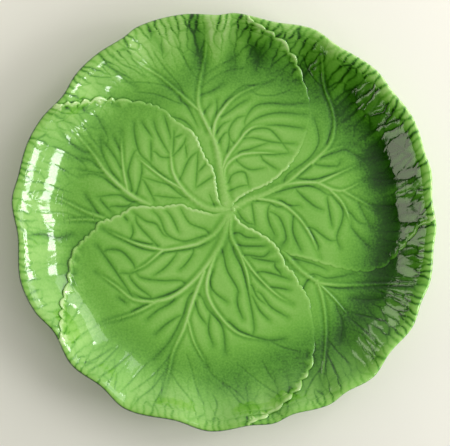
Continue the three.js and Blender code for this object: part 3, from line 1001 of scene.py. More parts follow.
def glaze_drift_and_painted_light(x, y):
    """How much deeper or thinner the glaze lies than it would by the relief alone, with painted shade and
    light.
    """
    radius = round_radius(x, y)
    side = towards(DRIFT_AND_SHADE_BEARING, x, y)
    strength = STREAK_POOL[0] + STREAK_POOL[1] * np.maximum(0, towards(STREAK_BEARING, x, y))
    streaks = streak_line(np.arctan2(y, x)) * strength
    # painted shade on the wall away from the lamps, where the glaze also lies deeper, and painted light on
    # the wall facing them
    run = DRIFT_EVEN + DRIFT_DEEP_AND_SHADED * np.maximum(side, 0) ** DRIFT_SHAPE - DRIFT_THIN_AND_LIT * np.maximum(-side, 0)
    run = run * rise_between(radius, *DRIFT_WALL) + streaks * rise_between(radius, *STREAK_WALL)
    by_lip = rise_between(radius, *LIP_ZONE)
    # painted light on the rim, on the lamps' side
    pale = np.maximum(towards(LIT_RIM_BEARING, x, y), 0) ** LIT_RIM_SHAPE
    # lighter towards the middle of the well
    middle = 1 - rise_between(np.hypot(x, y - CENTRE_SHIFT), *CENTRE_ZONE)
    drift = run * (1 - LIP_CLEARS * by_lip) - (LIP_THINS + RIM_PAINTED_LIGHT * pale) * by_lip
    drift = drift - CENTRE_LIGHTENS * middle
    # soft spots of painted shade and painted light
    for amount, width, point in PAINTED_LIGHT_AND_SHADE_SPOTS:
        spot = plan([point])[0]
        drift = drift + amount * hump(np.hypot(x - spot[0], y - spot[1]), width)
    return drift


def bend_field(x, y):
    """1 where the well bends up into the wall, where the glaze gathers and crackles; less on the left, where
    light is painted in.
    """
    radius = round_radius(x, y)
    ring = rise_between(radius, *BEND_INNER) * (1 - rise_between(radius, *BEND_OUTER))
    return ring * (1 - BEND_FAINT_ON_LIT_SIDE * np.maximum(0, -towards(0, x, y)))


print(STREAKS, "streaks and", len(PAINTED_LIGHT_AND_SHADE_SPOTS), "soft spots in the glaze")

# %% [markdown]
# Now the fields are weighed together. Most of them have a height in millimetres, and all have an amount by
# which the glaze is deeper or thinner there. The panels between the veins swell a little, and the net is
# cut deeper by the lip.

# %% Weigh the veins into a relief
RIDGE_RISE = 0.35
FLANK_DEPTH = 0.12
GROOVE_DEPTH = 0.12
NET_DEPTH = 0.075
NET_WIDTH = 0.62
NOTCH_ZONE = (144, 152)  # the net is cut deeper by the lip
NOTCH_WIDENS = 0.5
PANEL_SWELL = 0.24
SWELL_REACH = 3
NET_SWELL = 0.4
FOLD_DEPTH = 0.6
STREAK_DEPTH = 0.4
STREAK_RADIUS = 136
STREAK_LENGTH = 11
FACE_POOL = 0.53  # the depth of the glaze on a plain face, and how much more or less it is on each form
GROOVE_POOL = 0.17
SHADE_POOL = 0.07
FLANK_POOL = 0.1
NET_POOL = 0.25
FOLD_POOL = 0.35
RIDGE_THINS = 0.15
SWELL_THINS = 0.08


def face_relief(name, x, y):
    """The height of a leaf's face over its plain surface, and how deep the glaze lies on it, with painted
    shade and painted light added.
    """
    ridge, flank, groove, shade, nearest = vein_fields(name, x, y)
    net, net_away = net_fields(x, y)
    radius = round_radius(x, y)
    notch = rise_between(radius, *NOTCH_ZONE)
    net_line = net * (1 - np.clip(ridge, 0, 1)) * hump(net_away, NET_WIDTH * (1 + NOTCH_WIDENS * notch))
    fold = fold_field(name, x, y)
    swell = 1 - np.maximum(hump(nearest, SWELL_REACH), NET_SWELL * net * hump(net_away, SWELL_REACH))
    run_down = streak_line(np.arctan2(y, x)) * hump(radius - STREAK_RADIUS, STREAK_LENGTH)
    rise = RIDGE_RISE * ridge - FLANK_DEPTH * flank - GROOVE_DEPTH * groove
    rise = rise - NET_DEPTH * (1 + notch) * net_line
    rise = rise + PANEL_SWELL * swell - FOLD_DEPTH * fold - STREAK_DEPTH * run_down
    cut = GROOVE_POOL * groove + SHADE_POOL * shade + FLANK_POOL * flank
    pool = FACE_POOL + cut * (1 - BEND_SOFTENS * bend_field(x, y)) + NET_POOL * (1 + notch) * net_line
    pool = pool - RIDGE_THINS * ridge - SWELL_THINS * swell + FOLD_POOL * fold + glaze_drift_and_painted_light(x, y)
    return rise, pool


print(f"raised veins stand up to {RIDGE_RISE * RIDGE_MOST:.2f} mm high")

# %% [markdown]
# At an edge the upper leaf is lifted and rounded off, with a bead along it and lobes that swell like
# pillows near the rim. The lower leaf sinks a little, and a dark crease of glaze lies between the two.

# %% Lap the edges one over another
EDGE_LIFT = [(0, 0.3), (0.6, 0.35), (0.85, 1.2), (1, 0.7)]  # at reaches from the knot to the rim
EDGE_SINK = 0.2
LIFT_REACH = 9
LIP_BEAD = [(0, 0.15), (0.7, 0.2), (0.85, 0.5), (1, 0.3)]
LIP_PLACE = 1.4
LIP_WIDTH = 1.1
LIP_DROP = 0.6
LIP_ROUND = 1.4
CALM = 0.8  # how much of the veins is smoothed away on the lip
CALM_WIDTH = 2.2
CALM_POOL = 0.38
EDGE_THINS = 0.16
EDGE_THIN_PLACE = 0.6
EDGE_THIN_WIDTH = 1.1
LOBE_RISE = 0.9
LOBE_PLACE = 3.4
LOBE_WIDTH = 3.2
LOBES_FROM = (0.68, 0.8)
NOTCH_POOL = 0.18
LOBE_THINS = 0.34
CREASE_WIDTH = 1.0
CREASE_POOL = 0.2
UNDER_POOL = 0.08


def edge_distance(edge, x, y):
    """How far points lie from an edge, and the strength of its lip, the reach and the lobe there."""
    line = np.column_stack(lay_out(edge["bearing"], REACHES))
    distance = np.full(x.size, FAR_OFF)
    lip, reach, lobe = np.zeros((3, x.size))
    close = near_line(x, y, line, 3 * LIFT_REACH)
    distance[close], share = line_distance(x[close], y[close], line)
    rows = np.linspace(0, 1, REACHES.size)
    lip[close] = np.interp(share, rows, edge["lip"])
    reach[close] = np.interp(share, rows, REACHES)
    lobe[close] = np.interp(share, rows, edge["lobe"])
    return distance, lip, reach, lobe


def leaf_relief(name, x, y):
    """The height of a leaf with its edges, and how deep the glaze lies on it apart from its levelling, with
    painted shade and painted light added.
    """
    leaf = LEAVES[name]
    rise, pool = face_relief(name, x, y)
    for edge in leaf["over"]:
        distance, lip, reach, lobe = edge_distance(edge, x, y)
        lift = np.interp(reach, *np.array(EDGE_LIFT).T)
        drop = 1 - np.sqrt(1 - np.clip(1 - distance / LIP_ROUND, 0, 1) ** 2)
        bead = lip * np.interp(reach, *np.array(LIP_BEAD).T) * hump(distance - LIP_PLACE, LIP_WIDTH)
        calm = 1 - CALM * lip * hump(distance, CALM_WIDTH)
        pillow = lip * rise_between(reach, *LOBES_FROM) * hump(distance - LOBE_PLACE, LOBE_WIDTH)
        rise = rise * calm + lip * (lift * hump(distance, LIFT_REACH) - LIP_DROP * drop) + bead
        rise = rise + LOBE_RISE * pillow * (lobe - LOBE_MEAN)
        pool = pool * calm + (1 - calm) * CALM_POOL + pillow * (NOTCH_POOL - LOBE_THINS * lobe)
        pool = pool - EDGE_THINS * lip * hump(distance - EDGE_THIN_PLACE, EDGE_THIN_WIDTH)
    for edge in leaf["under"]:
        distance, lip, _, _ = edge_distance(edge, x, y)
        crease = CREASE_POOL * hump(distance, CREASE_WIDTH) + UNDER_POOL * hump(distance, LIFT_REACH / 2)
        rise = rise - EDGE_SINK * lip * hump(distance, LIFT_REACH)
        pool = pool + lip * crease
    return rise, pool


print(f"an edge is lifted by up to {max(lift for _, lift in EDGE_LIFT)} mm")

# %% [markdown]
# ## Making a leaf
# A leaf is a closed piece of clay: the carved top, a thin wall all round and an underside on the dish.
# The top is a grid, with rows out from the knot and columns from one edge to the other. The underside is
# never seen, so it takes only every tenth row and column, and its outermost faces carry the extra points
# of the wall so that the mesh stays closed.

# %% Close a grid of points into a mesh
UNDER_STEP = 10


def closed_patch(name, top, under_height):
    """A mesh from a grid of points, closed by a wall and an underside at other heights."""
    rows, columns = top.shape[:2]
    order = np.arange(rows * columns).reshape(rows, columns)
    quads = np.stack([order[:-1, :-1], order[1:, :-1], order[1:, 1:], order[:-1, 1:]], -1).reshape(-1, 4)
    some_rows = [*range(0, rows - 1, UNDER_STEP), rows - 1]
    some_columns = [*range(0, columns - 1, UNDER_STEP), columns - 1]
    kept = np.zeros((rows, columns), bool)
    kept[np.ix_(some_rows, some_columns)] = True
    kept[[0, -1], :] = True
    kept[:, [0, -1]] = True
    under = np.full((rows, columns), -1)
    under[kept] = rows * columns + np.arange(kept.sum())
    low_points = top[kept].copy()
    low_points[:, 2] = under_height[kept]
    loop = [*((0, c) for c in range(columns - 1)), *((r, columns - 1) for r in range(rows - 1))]
    loop += [*((rows - 1, c) for c in range(columns - 1, 0, -1)), *((r, 0) for r in range(rows - 1, 0, -1))]
    faces = quads.tolist()
    for here, there in zip(loop, loop[1:] + loop[:1]):
        faces.append([int(order[here]), int(order[there]), int(under[there]), int(under[here])])
    for r0, r1 in zip(some_rows, some_rows[1:]):
        for c0, c1 in zip(some_columns, some_columns[1:]):
            ring = [*((r0, c) for c in range(c0, c1)), *((r, c1) for r in range(r0, r1))]
            ring += [*((r1, c) for c in range(c1, c0, -1)), *((r, c0) for r in range(r1, r0, -1))]
            faces.append([int(under[spot]) for spot in ring if under[spot] >= 0])
    mesh = bpy.data.meshes.new(name)
    mesh.from_pydata((np.concatenate([top.reshape(-1, 3), low_points]) * MM).tolist(), [], faces)
    return mesh, low_points


def finish_mesh(mesh, name, sharp_degrees, **fields):
    """Smooth the mesh, give it named values at its points and put it in the scene."""
    mesh.polygons.foreach_set("use_smooth", np.ones(len(mesh.polygons), bool))
    mesh.set_sharp_from_angle(angle=math.radians(sharp_degrees))
    for field, values in fields.items():
        layer = mesh.attributes.new(field, "FLOAT", "POINT")
        layer.data.foreach_set("value", np.asarray(values, np.float32))
    mesh.validate()
    piece = bpy.data.objects.new(name, mesh)
    bpy.context.scene.collection.objects.link(piece)
    return piece


print(f"an underside takes one row and column in {UNDER_STEP}")

# %% [markdown]
# The columns lie closer together along the edges, where a leaf is rounded off. Wet glaze levels itself, so
# a softened copy of the heights shows where it gathers. Out at the rim the leaf follows the round of the
# dish's lip, as a cover over it.

# %% Space the columns, level the glaze and round the lip
EDGE_STEPS = np.array([0, 0.15, 0.4, 0.75, 1.15, 1.65, 2.2])
EDGE_SHARE = 0.2  # of a row's width, for the closer columns beside an edge
EDGE_MOST = 0.3
SLANT_RANGE = (1, 3)
LEVEL_PASSES = 30
NOSE_STEPS = 20


def column_places(width, columns, slants):
    """How far across a row its columns lie, in mm, packed closer beside both edges."""
    shrink = np.minimum(1, EDGE_SHARE * width / EDGE_STEPS[-1])
    near, far = [
        EDGE_STEPS * (shrink * np.sqrt(1 + slant**2).clip(*SLANT_RANGE))[:, None] for slant in slants
    ]
    fit = np.minimum(1, EDGE_MOST * width / np.maximum(near[:, -1], far[:, -1]))[:, None]
    near, far = near * fit, far * fit
    even = np.linspace(0, 1, columns - 2 * EDGE_STEPS.size + 2)[1:-1]
    middle = near[:, -1:] + (width[:, None] - near[:, -1:] - far[:, -1:]) * even
    return np.concatenate([near, middle, width[:, None] - far[:, ::-1]], 1)


def levelled(heights):
    """A grid of heights, softened as wet glaze levels itself."""
    for _ in range(LEVEL_PASSES):
        padded = np.pad(heights, 1, mode="edge")
        heights = (padded[:-2, 1:-1] + 2 * heights + padded[2:, 1:-1]) / 4
        padded = np.pad(heights, 1, mode="edge")
        heights = (padded[1:-1, :-2] + 2 * heights + padded[1:-1, 2:]) / 4
    return heights


def lip_nose(cover):
    """The round of the lip under a cover of some thickness: places out from the end of the face and over it,
    from the underside up."""
    low = np.array([0, -LIP_THICKNESS])
    middle = (low + [0, cover]) / 2
    arm = low - middle
    across = np.array([-arm[1], arm[0]]) * LIP_THICKNESS / (LIP_THICKNESS + cover)
    turns = np.linspace(0, math.pi, NOSE_STEPS + 1)
    return middle + np.outer(np.cos(turns), arm) + np.outer(np.sin(turns), across)


def lip_height(past, cover):
    """How high the lip lies over the end of the face, some way past that end."""
    nose = lip_nose(cover)
    top = nose[nose[:, 0].argmax():][::-1]
    return np.interp(past, top[:, 0], top[:, 1])


print(f"{EDGE_STEPS.size} close columns along each edge, over {EDGE_STEPS[-1]} mm")

# %% [markdown]
# With these a leaf is built in one go: its grid, the relief and the depth of the glaze at each point, and
# the closed mesh. The mesh carries the depth, with its painted shade and light, as a value at its points,
# where the material can read it.

# %% Build the five leaves
LEAF_RISE = 1.9  # how thick a leaf lies on the dish
COLUMN_STEP = 0.66
MOST_COLUMNS = 285
UNDER_LIFT = 0.1
RIM_FADE = 1.2  # the relief runs out over this last bit of the leaf
SHARP_LEAF = 55
HIDDEN_POOL = 0.5  # on faces that are out of sight, or whose finish doesn't use it
LEVEL_WEIGHT = 0.8
LIP_LINE = (0.4, 1.5)  # over the last of the lip, painted shade and painted light
LIP_LINE_SHADE = 0.25
LIP_LIGHT_AND_SHADE = 0.65
LIP_LIT_BEARING = 25  # the lamps' side, where light is painted on the lip; the far side gets painted shade


def make_leaf(name):
    leaf = LEAVES[name]
    rows = REACHES >= leaf.get("first", 0)
    reaches = REACHES[rows]
    start = leaf["from"]["bearing"][rows]
    turn = leaf["to"]["bearing"][rows] - start
    distance = reaches * MEAN_REACH
    width = turn * distance
    columns = min(MOST_COLUMNS, int(width.max() / COLUMN_STEP))
    slants = (leaf["from"]["slant"][rows], leaf["to"]["slant"][rows])
    across = column_places(width, columns, slants) / width[:, None]
    bearing = start[:, None] + across * turn[:, None]
    x, y = lay_out(bearing, reaches[:, None])
    rise, pool = leaf_relief(name, x.ravel(), y.ravel())
    to_rim = ((1 - reaches) * MEAN_REACH)[:, None] + 0 * x
    rise = rise * rise_between(to_rim.ravel(), 0, RIM_FADE)
    grid = rise.reshape(x.shape)
    bend = bend_field(x.ravel(), y.ravel())
    pool = pool + LEVEL_WEIGHT * (1 - BEND_SOFTENS * bend) * (levelled(grid) - grid).ravel()
    # painted shade on the last of the lip on the side away from the lamps, painted light on the side towards
    # them
    lip_pool = LIP_LINE_SHADE - LIP_LIGHT_AND_SHADE * towards(LIP_LIT_BEARING, x, y)
    pool = pool + ((1 - rise_between(to_rim, *LIP_LINE)) * lip_pool).ravel()
    past = round_radius(x.ravel(), y.ravel()) - FACE_RADIUS
    face = face_height(x.ravel(), y.ravel())
    height = face + lip_height(past, LEAF_RISE) + rise
    top = np.column_stack([x.ravel(), y.ravel(), height]).reshape(*x.shape, 3)
    mesh, low_points = closed_patch(name, top, (face + lip_height(past, 0) + UNDER_LIFT).reshape(x.shape))
    low_count = len(low_points)
    piece = finish_mesh(
        mesh, f"{name}_glazed", SHARP_LEAF,
        pool=np.append(pool, np.full(low_count, HIDDEN_POOL)), bend=np.append(bend, np.zeros(low_count)),
    )
    print(f"{piece.name}: {len(mesh.polygons)} faces, relief {rise.min():.2f} to {rise.max():.2f} mm")
    return piece


leaf_pieces = {name: make_leaf(name) for name in LEAVES}

# %% [markdown]
# ## The dish and its lip
# Under the leaves lies the dish. Its profile is turned about the middle, as on a wheel, and each point is
# then pulled in or out with the wavy rim. The foot ring and the knot are turned in the same way, but round.

# %% Turn a closed profile about the middle
TURN_STEPS = 360


def turned_mesh(name, profile, wavy=False):
    """A closed mesh from (radius, height) points turned about the middle. A profile that starts on the axis
    also ends there, and any other one closes on itself."""
    profile = np.array(profile, float)
    on_axis = profile[0, 0] == 0
    rings = profile[1:-1] if on_axis else profile
    bearings = np.arange(TURN_STEPS) * 2 * math.pi / TURN_STEPS
    radius = np.repeat(rings[:, :1], TURN_STEPS, 1)
    height = np.repeat(rings[:, 1:], TURN_STEPS, 1)
    if wavy:
        out = wavy_radius(radius, bearings[None, :]) - radius
        radius, height = radius + out, height - RIM_FOLD * out
    points = np.stack([radius * np.cos(bearings), radius * np.sin(bearings), height], -1).reshape(-1, 3)
    order = np.arange(len(points)).reshape(len(rings), TURN_STEPS)
    onward = np.roll(order, -1, 1)
    faces = []
    for ring in range(len(rings) - on_axis):
        after = (ring + 1) % len(rings)
        faces += np.stack([order[ring], onward[ring], onward[after], order[after]], 1).tolist()
    if on_axis:
        first, last = len(points), len(points) + 1
        points = np.concatenate([points, [[0, 0, profile[0, 1]], [0, 0, profile[-1, 1]]]])
        faces += [[first, b, a] for a, b in zip(order[0].tolist(), onward[0].tolist())]
        faces += [[last, a, b] for a, b in zip(order[-1].tolist(), onward[-1].tolist())]
    mesh = bpy.data.meshes.new(name)
    mesh.from_pydata((points * MM).tolist(), [], faces)
    return mesh, points


print(f"{TURN_STEPS} steps to a turn")

# %% [markdown]
# Only the round lip and the plain back of the dish are ever seen, and the lip gets the finest steps. The
# face just has to stay out of sight under the leaves. On the back the glaze is deepest where it bends.

# %% Make the dish
WALL_STEPS = 30
DISH_SINK = 0.15  # keeps the face of the dish just under the leaves
FLOOR_RINGS = np.array([0, 20, 50, 80])
SHARP_TURNED = 60
LIP_POOL = 0.5
WELL_BACK_POOL = 0.55  # on the back, under the well
BACK_POOL = 0.42
BACK_BEND_POOL = 0.25  # more where the back bends
BACK_BEND_WIDTH = 17


def dish_profile():
    """From the middle of the underside out to the lip, round it, and back over the face. With each point
    goes how deep the glaze lies on it."""
    radii = np.linspace(WELL_RADIUS, FACE_RADIUS, WALL_STEPS)
    thickness = np.linspace(WALL_THICKNESS, LIP_THICKNESS, WALL_STEPS)
    lean = np.arctan(profile_slope(radii))
    face = np.column_stack([radii, profile_height(radii)])
    underside = face + thickness[:, None] * np.column_stack([np.sin(lean), -np.cos(lean)])
    nose = face[-1] + lip_nose(0)[1:]
    sunk = face[-2::-1] - [0, DISH_SINK]
    rings = FLOOR_RINGS.size
    inner = np.column_stack([FLOOR_RINGS, np.full(rings, float(FOOT_HEIGHT))])
    floor = np.column_stack([FLOOR_RINGS[::-1], np.full(rings, FLOOR_HEIGHT - DISH_SINK)])
    back_pool = BACK_POOL + BACK_BEND_POOL * hump(underside[:, 0] - BEND_INNER[1], BACK_BEND_WIDTH)
    lip_pool = np.full(len(nose) + len(sunk), LIP_POOL)
    pool = [np.full(rings, WELL_BACK_POOL), back_pool, lip_pool, np.full(rings, HIDDEN_POOL)]
    return np.concatenate([inner, underside, nose, sunk, floor]), np.concatenate(pool)


profile, profile_pool = dish_profile()
dish_mesh, dish_points = turned_mesh("dish_body_glazed", profile, wavy=True)
dish_pool = np.append(np.repeat(profile_pool[1:-1], TURN_STEPS), profile_pool[[0, -1]])
dish_piece = finish_mesh(dish_mesh, "dish_body_glazed", SHARP_TURNED, pool=dish_pool, bend=0 * dish_pool)
print(f"{dish_piece.name}: {len(dish_mesh.polygons)} faces, {dish_points[:, 2].max():.1f} mm high")

# %% [markdown]
# ## The foot ring
# The plate stands on a low ring, luted under the well. Its corners are rounded by fingers and sponge,
# and a small sweep of slip joins it to the back. A bend through three points rounds each corner of the
# section.

# %% Turn the foot ring
FOOT_ROUND = 1.2
FOOT_SWEEP = 1.0
CORNER_STEPS = 6


def rounded(section, radii):
    """A closed section whose corners are each rounded by a bend that starts a distance before the corner."""
    section = np.array(section, float)
    points = []
    for index, distance in enumerate(radii):
        corner = section[index]
        before = section[index - 1] - corner
        after = section[(index + 1) % len(section)] - corner
        if distance == 0:
            points.append(corner)
            continue
        start = corner + before * min(0.5, distance / np.hypot(*before))
        end = corner + after * min(0.5, distance / np.hypot(*after))
        for t in np.linspace(0, 1, CORNER_STEPS):
            points.append(start * (1 - t) ** 2 + 2 * corner * t * (1 - t) + end * t**2)
    return np.array(points)


foot_outer = WELL_RADIUS - FOOT_INSET
foot_inner = foot_outer - FOOT_WIDTH
foot_section = rounded(
    [
        (foot_inner + FOOT_TAPER, 0), (foot_outer - FOOT_TAPER, 0), (foot_outer, FOOT_HEIGHT - FOOT_SWEEP),
        (foot_outer + FOOT_SWEEP, FOOT_HEIGHT), (foot_inner - FOOT_SWEEP, FOOT_HEIGHT),
        (foot_inner, FOOT_HEIGHT - FOOT_SWEEP),
    ],
    [FOOT_ROUND, FOOT_ROUND, FOOT_SWEEP, 0, 0, FOOT_SWEEP],
)
foot_mesh, foot_points = turned_mesh("foot_ring_wiped", foot_section)
foot_pool = np.full(len(foot_points), HIDDEN_POOL)
foot_piece = finish_mesh(foot_mesh, "foot_ring_wiped", SHARP_TURNED, pool=foot_pool, bend=0 * foot_pool)
print(f"{foot_piece.name}: {len(foot_mesh.polygons)} faces, {foot_points[:, 0].max() * 2:.0f} mm across")

# %% [markdown]
# ## The stalk knot
# Where the stalks run together there is a small smooth boss. It is a low dome that sinks into the
# leaves around it, so that no edge of its own shows.

# %% Turn the knot
KNOT_RISE = 0.7
KNOT_SINK = 0.3
KNOT_RINGS = 9
KNOT_POOL = 0.3

swing = np.linspace(0, math.pi / 2, KNOT_RINGS)
knot_wall = FLOOR_HEIGHT + LEAF_RISE - KNOT_SINK
knot_heights = knot_wall + (KNOT_RISE + KNOT_SINK) * np.sin(swing)
knot_dome = np.column_stack([KNOT_RADIUS * np.cos(swing), knot_heights])
knot_dome[-1, 0] = 0
knot_low = FLOOR_HEIGHT + UNDER_LIFT
knot_profile = [(0, knot_low), (KNOT_RADIUS, knot_low), *knot_dome]
knot_mesh, knot_points = turned_mesh("stalk_knot_glazed", knot_profile)
knot_mesh.transform(Matrix.Translation((knot[0] * MM, knot[1] * MM, 0)))
knot_pool = np.full(len(knot_points), KNOT_POOL)
knot_piece = finish_mesh(knot_mesh, "stalk_knot_glazed", SHARP_TURNED, pool=knot_pool, bend=0 * knot_pool)
print(f"{knot_piece.name}: {len(knot_mesh.polygons)} faces")

# %% [markdown]
# ## Writing shaders as sums
# A glaze is a chain of small sums: so much darker in a groove, a little lighter in a cloud. Wrapping a
# socket in a class with overloaded operators lets those sums be written as Python, and each operator
# adds the Math node that it stands for. Every other node comes from the one method `node`.

# %% Wrap sockets so that they can be added and multiplied
class Wire:
    """One socket of a node tree, for use in Python expressions."""

    def __init__(self, tree, socket=None):
        self.tree = tree
        self.socket = socket

    def node(self, kind, settings, inputs, output=0):
        """A new node: its settings first, then the values or wires of its inputs. Gives one output."""
        made = self.tree.nodes.new(kind)
        for key, value in settings.items():
            if key == "stops":
                set_stops(made.color_ramp, value)
            else:
                setattr(made, key, value)
        for key, value in inputs.items():
            if isinstance(value, Wire):
                self.tree.links.new(value.socket, made.inputs[key])
            else:
                made.inputs[key].default_value = value
        return Wire(self.tree, made.outputs[output]) if made.outputs else None

    def maths(self, operation, first, second):
        return self.node("ShaderNodeMath", {"operation": operation}, {0: first, 1: second})

    def mixed(self, first, second):
        """Two colours, mixed by this wire from 0 to 1."""
        return self.node("ShaderNodeMix", {"data_type": "RGBA"}, {0: self, 6: first, 7: second}, 2)

    def __add__(self, other):
        return self.maths("ADD", self, other)

    __radd__ = __add__

    def __mul__(self, other):
        return self.maths("MULTIPLY", self, other)

    __rmul__ = __mul__

    def __sub__(self, other):
        return self.maths("SUBTRACT", self, other)

    def __rsub__(self, other):
        return self.maths("SUBTRACT", other, self)


def set_stops(ramp, stops):
    """The places and colours of a colour ramp."""
    while len(ramp.elements) < len(stops):
        ramp.elements.new(1)
    for element, (place, colour) in zip(ramp.elements, stops):
        element.position = place
        element.color = (*colour, 1)


def new_material(name):
    """An empty material, and a wire to start its nodes from."""
    material = bpy.data.materials.new(name)
    material.use_nodes = True
    material.node_tree.nodes.clear()
    return material, Wire(material.node_tree)


print("wires can be added, subtracted and multiplied, with numbers too")

# %% [markdown]
# ## The green glaze
# Copper-green lead glaze is clear coloured glass over buff clay. It lies thicker or thinner, so one ramp
# from thin to thick gives every green on the plate. The depth worked out with the relief is the thickness,
# with painted shade and painted light added to it in places, so the same ramp paints those too. Noise adds
# slow clouds, and a fine fleck that is strongest where the well bends up into the wall. The gloss is the
# shader's own, with a faint unevenness that breaks up reflections.

# %% Make the glaze
LEAF_GREENS = [  # by the depth of the glaze, with its painted shade and light
    (0.0, (0.43, 0.62, 0.24)),
    (0.3, (0.255, 0.50, 0.1)),
    (0.55, (0.142, 0.38, 0.038)),
    (0.8, (0.065, 0.235, 0.013)),
    (1.0, (0.02, 0.1, 0.003)),
    (1.25, (0.008, 0.045, 0.001)),
]
DEEPEST = LEAF_GREENS[-1][0]
GLASS_INDEX = 1.62  # a lead glaze bends light more than window glass
CLOUD_SCALE = 26
CLOUD_POOL = 0.2
FLECK_SCALE = 620
FLECK_POOL = (0.2, 0.3)  # everywhere, and more at the bend
BEND_POOL = (0.235, 0.12)  # even, and with the clouds
GLOSS = (0.05, 0.07)  # the roughness, even and with the clouds
PEEL_SCALE = 160
PEEL_STRENGTH = 0.25
BUMP_HEIGHT = 0.0002


def glaze_colour(depth):
    stops = [(place / DEEPEST, colour) for place, colour in LEAF_GREENS]
    return depth.node("ShaderNodeValToRGB", {"stops": stops}, {"Fac": depth * (1 / DEEPEST)}, "Color")


def noise(place, scale, detail):
    """Soft noise from 0 to 1, about 0.5."""
    return place.node("ShaderNodeTexNoise", {}, {"Vector": place, "Scale": scale, "Detail": detail}, "Fac")


def bumped(height, strength):
    """The surface's normal, tilted a little by a height from 0 to 1."""
    inputs = {"Height": height, "Strength": strength, "Distance": BUMP_HEIGHT}
    return height.node("ShaderNodeBump", {}, inputs, "Normal")


def dress(start, surface):
    """One shader with these inputs, as the whole of a material."""
    shader = start.node("ShaderNodeBsdfPrincipled", {}, surface, "BSDF")
    start.node("ShaderNodeOutputMaterial", {}, {"Surface": shader})


def glaze_material(name):
    material, start = new_material(name)
    place = start.node("ShaderNodeTexCoord", {}, {}, "Object")
    # the depth of the glaze at each point, with painted shade and painted light mixed in
    pool = start.node("ShaderNodeAttribute", {"attribute_name": "pool"}, {}, "Fac")
    bend = start.node("ShaderNodeAttribute", {"attribute_name": "bend"}, {}, "Fac")
    cloud = noise(place, CLOUD_SCALE, 2)
    fleck = noise(place, FLECK_SCALE, 3)
    peel = noise(place, PEEL_SCALE, 1)
    depth = pool + (cloud - 0.5) * CLOUD_POOL + (fleck - 0.5) * (FLECK_POOL[0] + FLECK_POOL[1] * bend)
    depth = depth + (BEND_POOL[0] + BEND_POOL[1] * cloud) * bend
    surface = {"Base Color": glaze_colour(depth), "Roughness": GLOSS[0] + GLOSS[1] * cloud}
    surface["Normal"] = bumped(peel, PEEL_STRENGTH)
    dress(start, {**surface, "IOR": GLASS_INDEX})
    return material


leaf_glaze = glaze_material("leaf_glaze")
back_glaze = glaze_material("back_glaze")
print("glazes:", leaf_glaze.name, back_glaze.name)

# %% [markdown]
# ## The wiped foot
# Glaze would weld the plate to the kiln shelf, so the potter wipes the standing edge clean. Glaze and
# clay are one material here, mixed by the height on the ring along a line that wavers as a sponge does.

# %% Make the glazed and wiped clay of the foot
CLAY_TONES = [(0.3, (0.50, 0.38, 0.22)), (0.7, (0.68, 0.56, 0.36))]
WIPED_HEIGHT = 1.6
WIPE_WAVER = 1.6
WIPE_SCALE = 90
WIPE_SHARPNESS = 2.5
GRAIN_SCALE = 900
GRAIN_STRENGTH = 0.3
CLAY_ROUGHNESS = 0.8
FOOT_GLOSS = 0.1
FOOT_DEPTH = 0.05  # added to the noise that gives the depth of its glaze


def foot_material(name):
    material, start = new_material(name)
    place = start.node("ShaderNodeTexCoord", {}, {}, "Object")
    height = start.node("ShaderNodeSeparateXYZ", {}, {"Vector": place}, "Z")
    waver = noise(place, WIPE_SCALE, 2)
    grain = noise(place, GRAIN_SCALE, 4)
    line = (height * (1 / MM) - WIPED_HEIGHT + (waver - 0.5) * WIPE_WAVER) * WIPE_SHARPNESS
    glazed = start.node("ShaderNodeClamp", {}, {"Value": line}, "Result")
    clay = start.node("ShaderNodeValToRGB", {"stops": CLAY_TONES}, {"Fac": grain}, "Color")
    surface = {"Base Color": glazed.mixed(clay, glaze_colour(waver + FOOT_DEPTH))}
    surface["Roughness"] = CLAY_ROUGHNESS - (CLAY_ROUGHNESS - FOOT_GLOSS) * glazed
    surface["Normal"] = bumped(grain, GRAIN_STRENGTH)
    dress(start, {**surface, "IOR": GLASS_INDEX})
    return material


foot_clay = foot_material("bare_clay")
print("foot:", foot_clay.name)

# %% [markdown]
# ## Putting the pieces in place
# Every piece takes its finish, rides on the one body of the plate and stands for the solid of the same
# name, which is hidden.

# %% Give the pieces their finishes and places
PIECES = [
    *((piece, name, leaf_glaze, "leaf_glaze") for name, piece in leaf_pieces.items()),
    (knot_piece, "stalk_knot", leaf_glaze, "leaf_glaze"),
    (dish_piece, "dish_body", back_glaze, "back_glaze"),
    (foot_piece, "foot_ring", foot_clay, "bare_clay"),
]
for piece, node, material, slot in PIECES:
    piece.data.materials.append(material)
    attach(piece, "root")
    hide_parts(node)
print(len(PIECES), "pieces in place of", len(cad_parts), "solids")

# %% [markdown]
# ## The table and the light
# The plate lies on a pale warm sheet that dims a little to the front, as painted shade. It is no piece
# of the plate, so it hangs on no body.

# %% Lay the sheet
SHEET_SIZE = 5
SHEET_DROP = 0.0002  # keeps it just clear of the foot
SHEET_TONES = [(0.1, (0.69, 0.68, 0.62)), (0.9, (0.87, 0.845, 0.765))]
SHEET_SHADE_WAY = (0.45, 0.9, 0)  # painted shade: from the dim front to the bright back
SHEET_SHADE_CHANGE = 1.4  # of its tone, in each metre that way
SHEET_CLOUD = 0.2
SHEET_CLOUD_SCALE = 6
SHEET_ROUGHNESS = 0.9


def how_far(place, way):
    """How far a place or a direction lies along a way."""
    return place.node("ShaderNodeVectorMath", {"operation": "DOT_PRODUCT"}, {0: place, 1: way}, "Value")


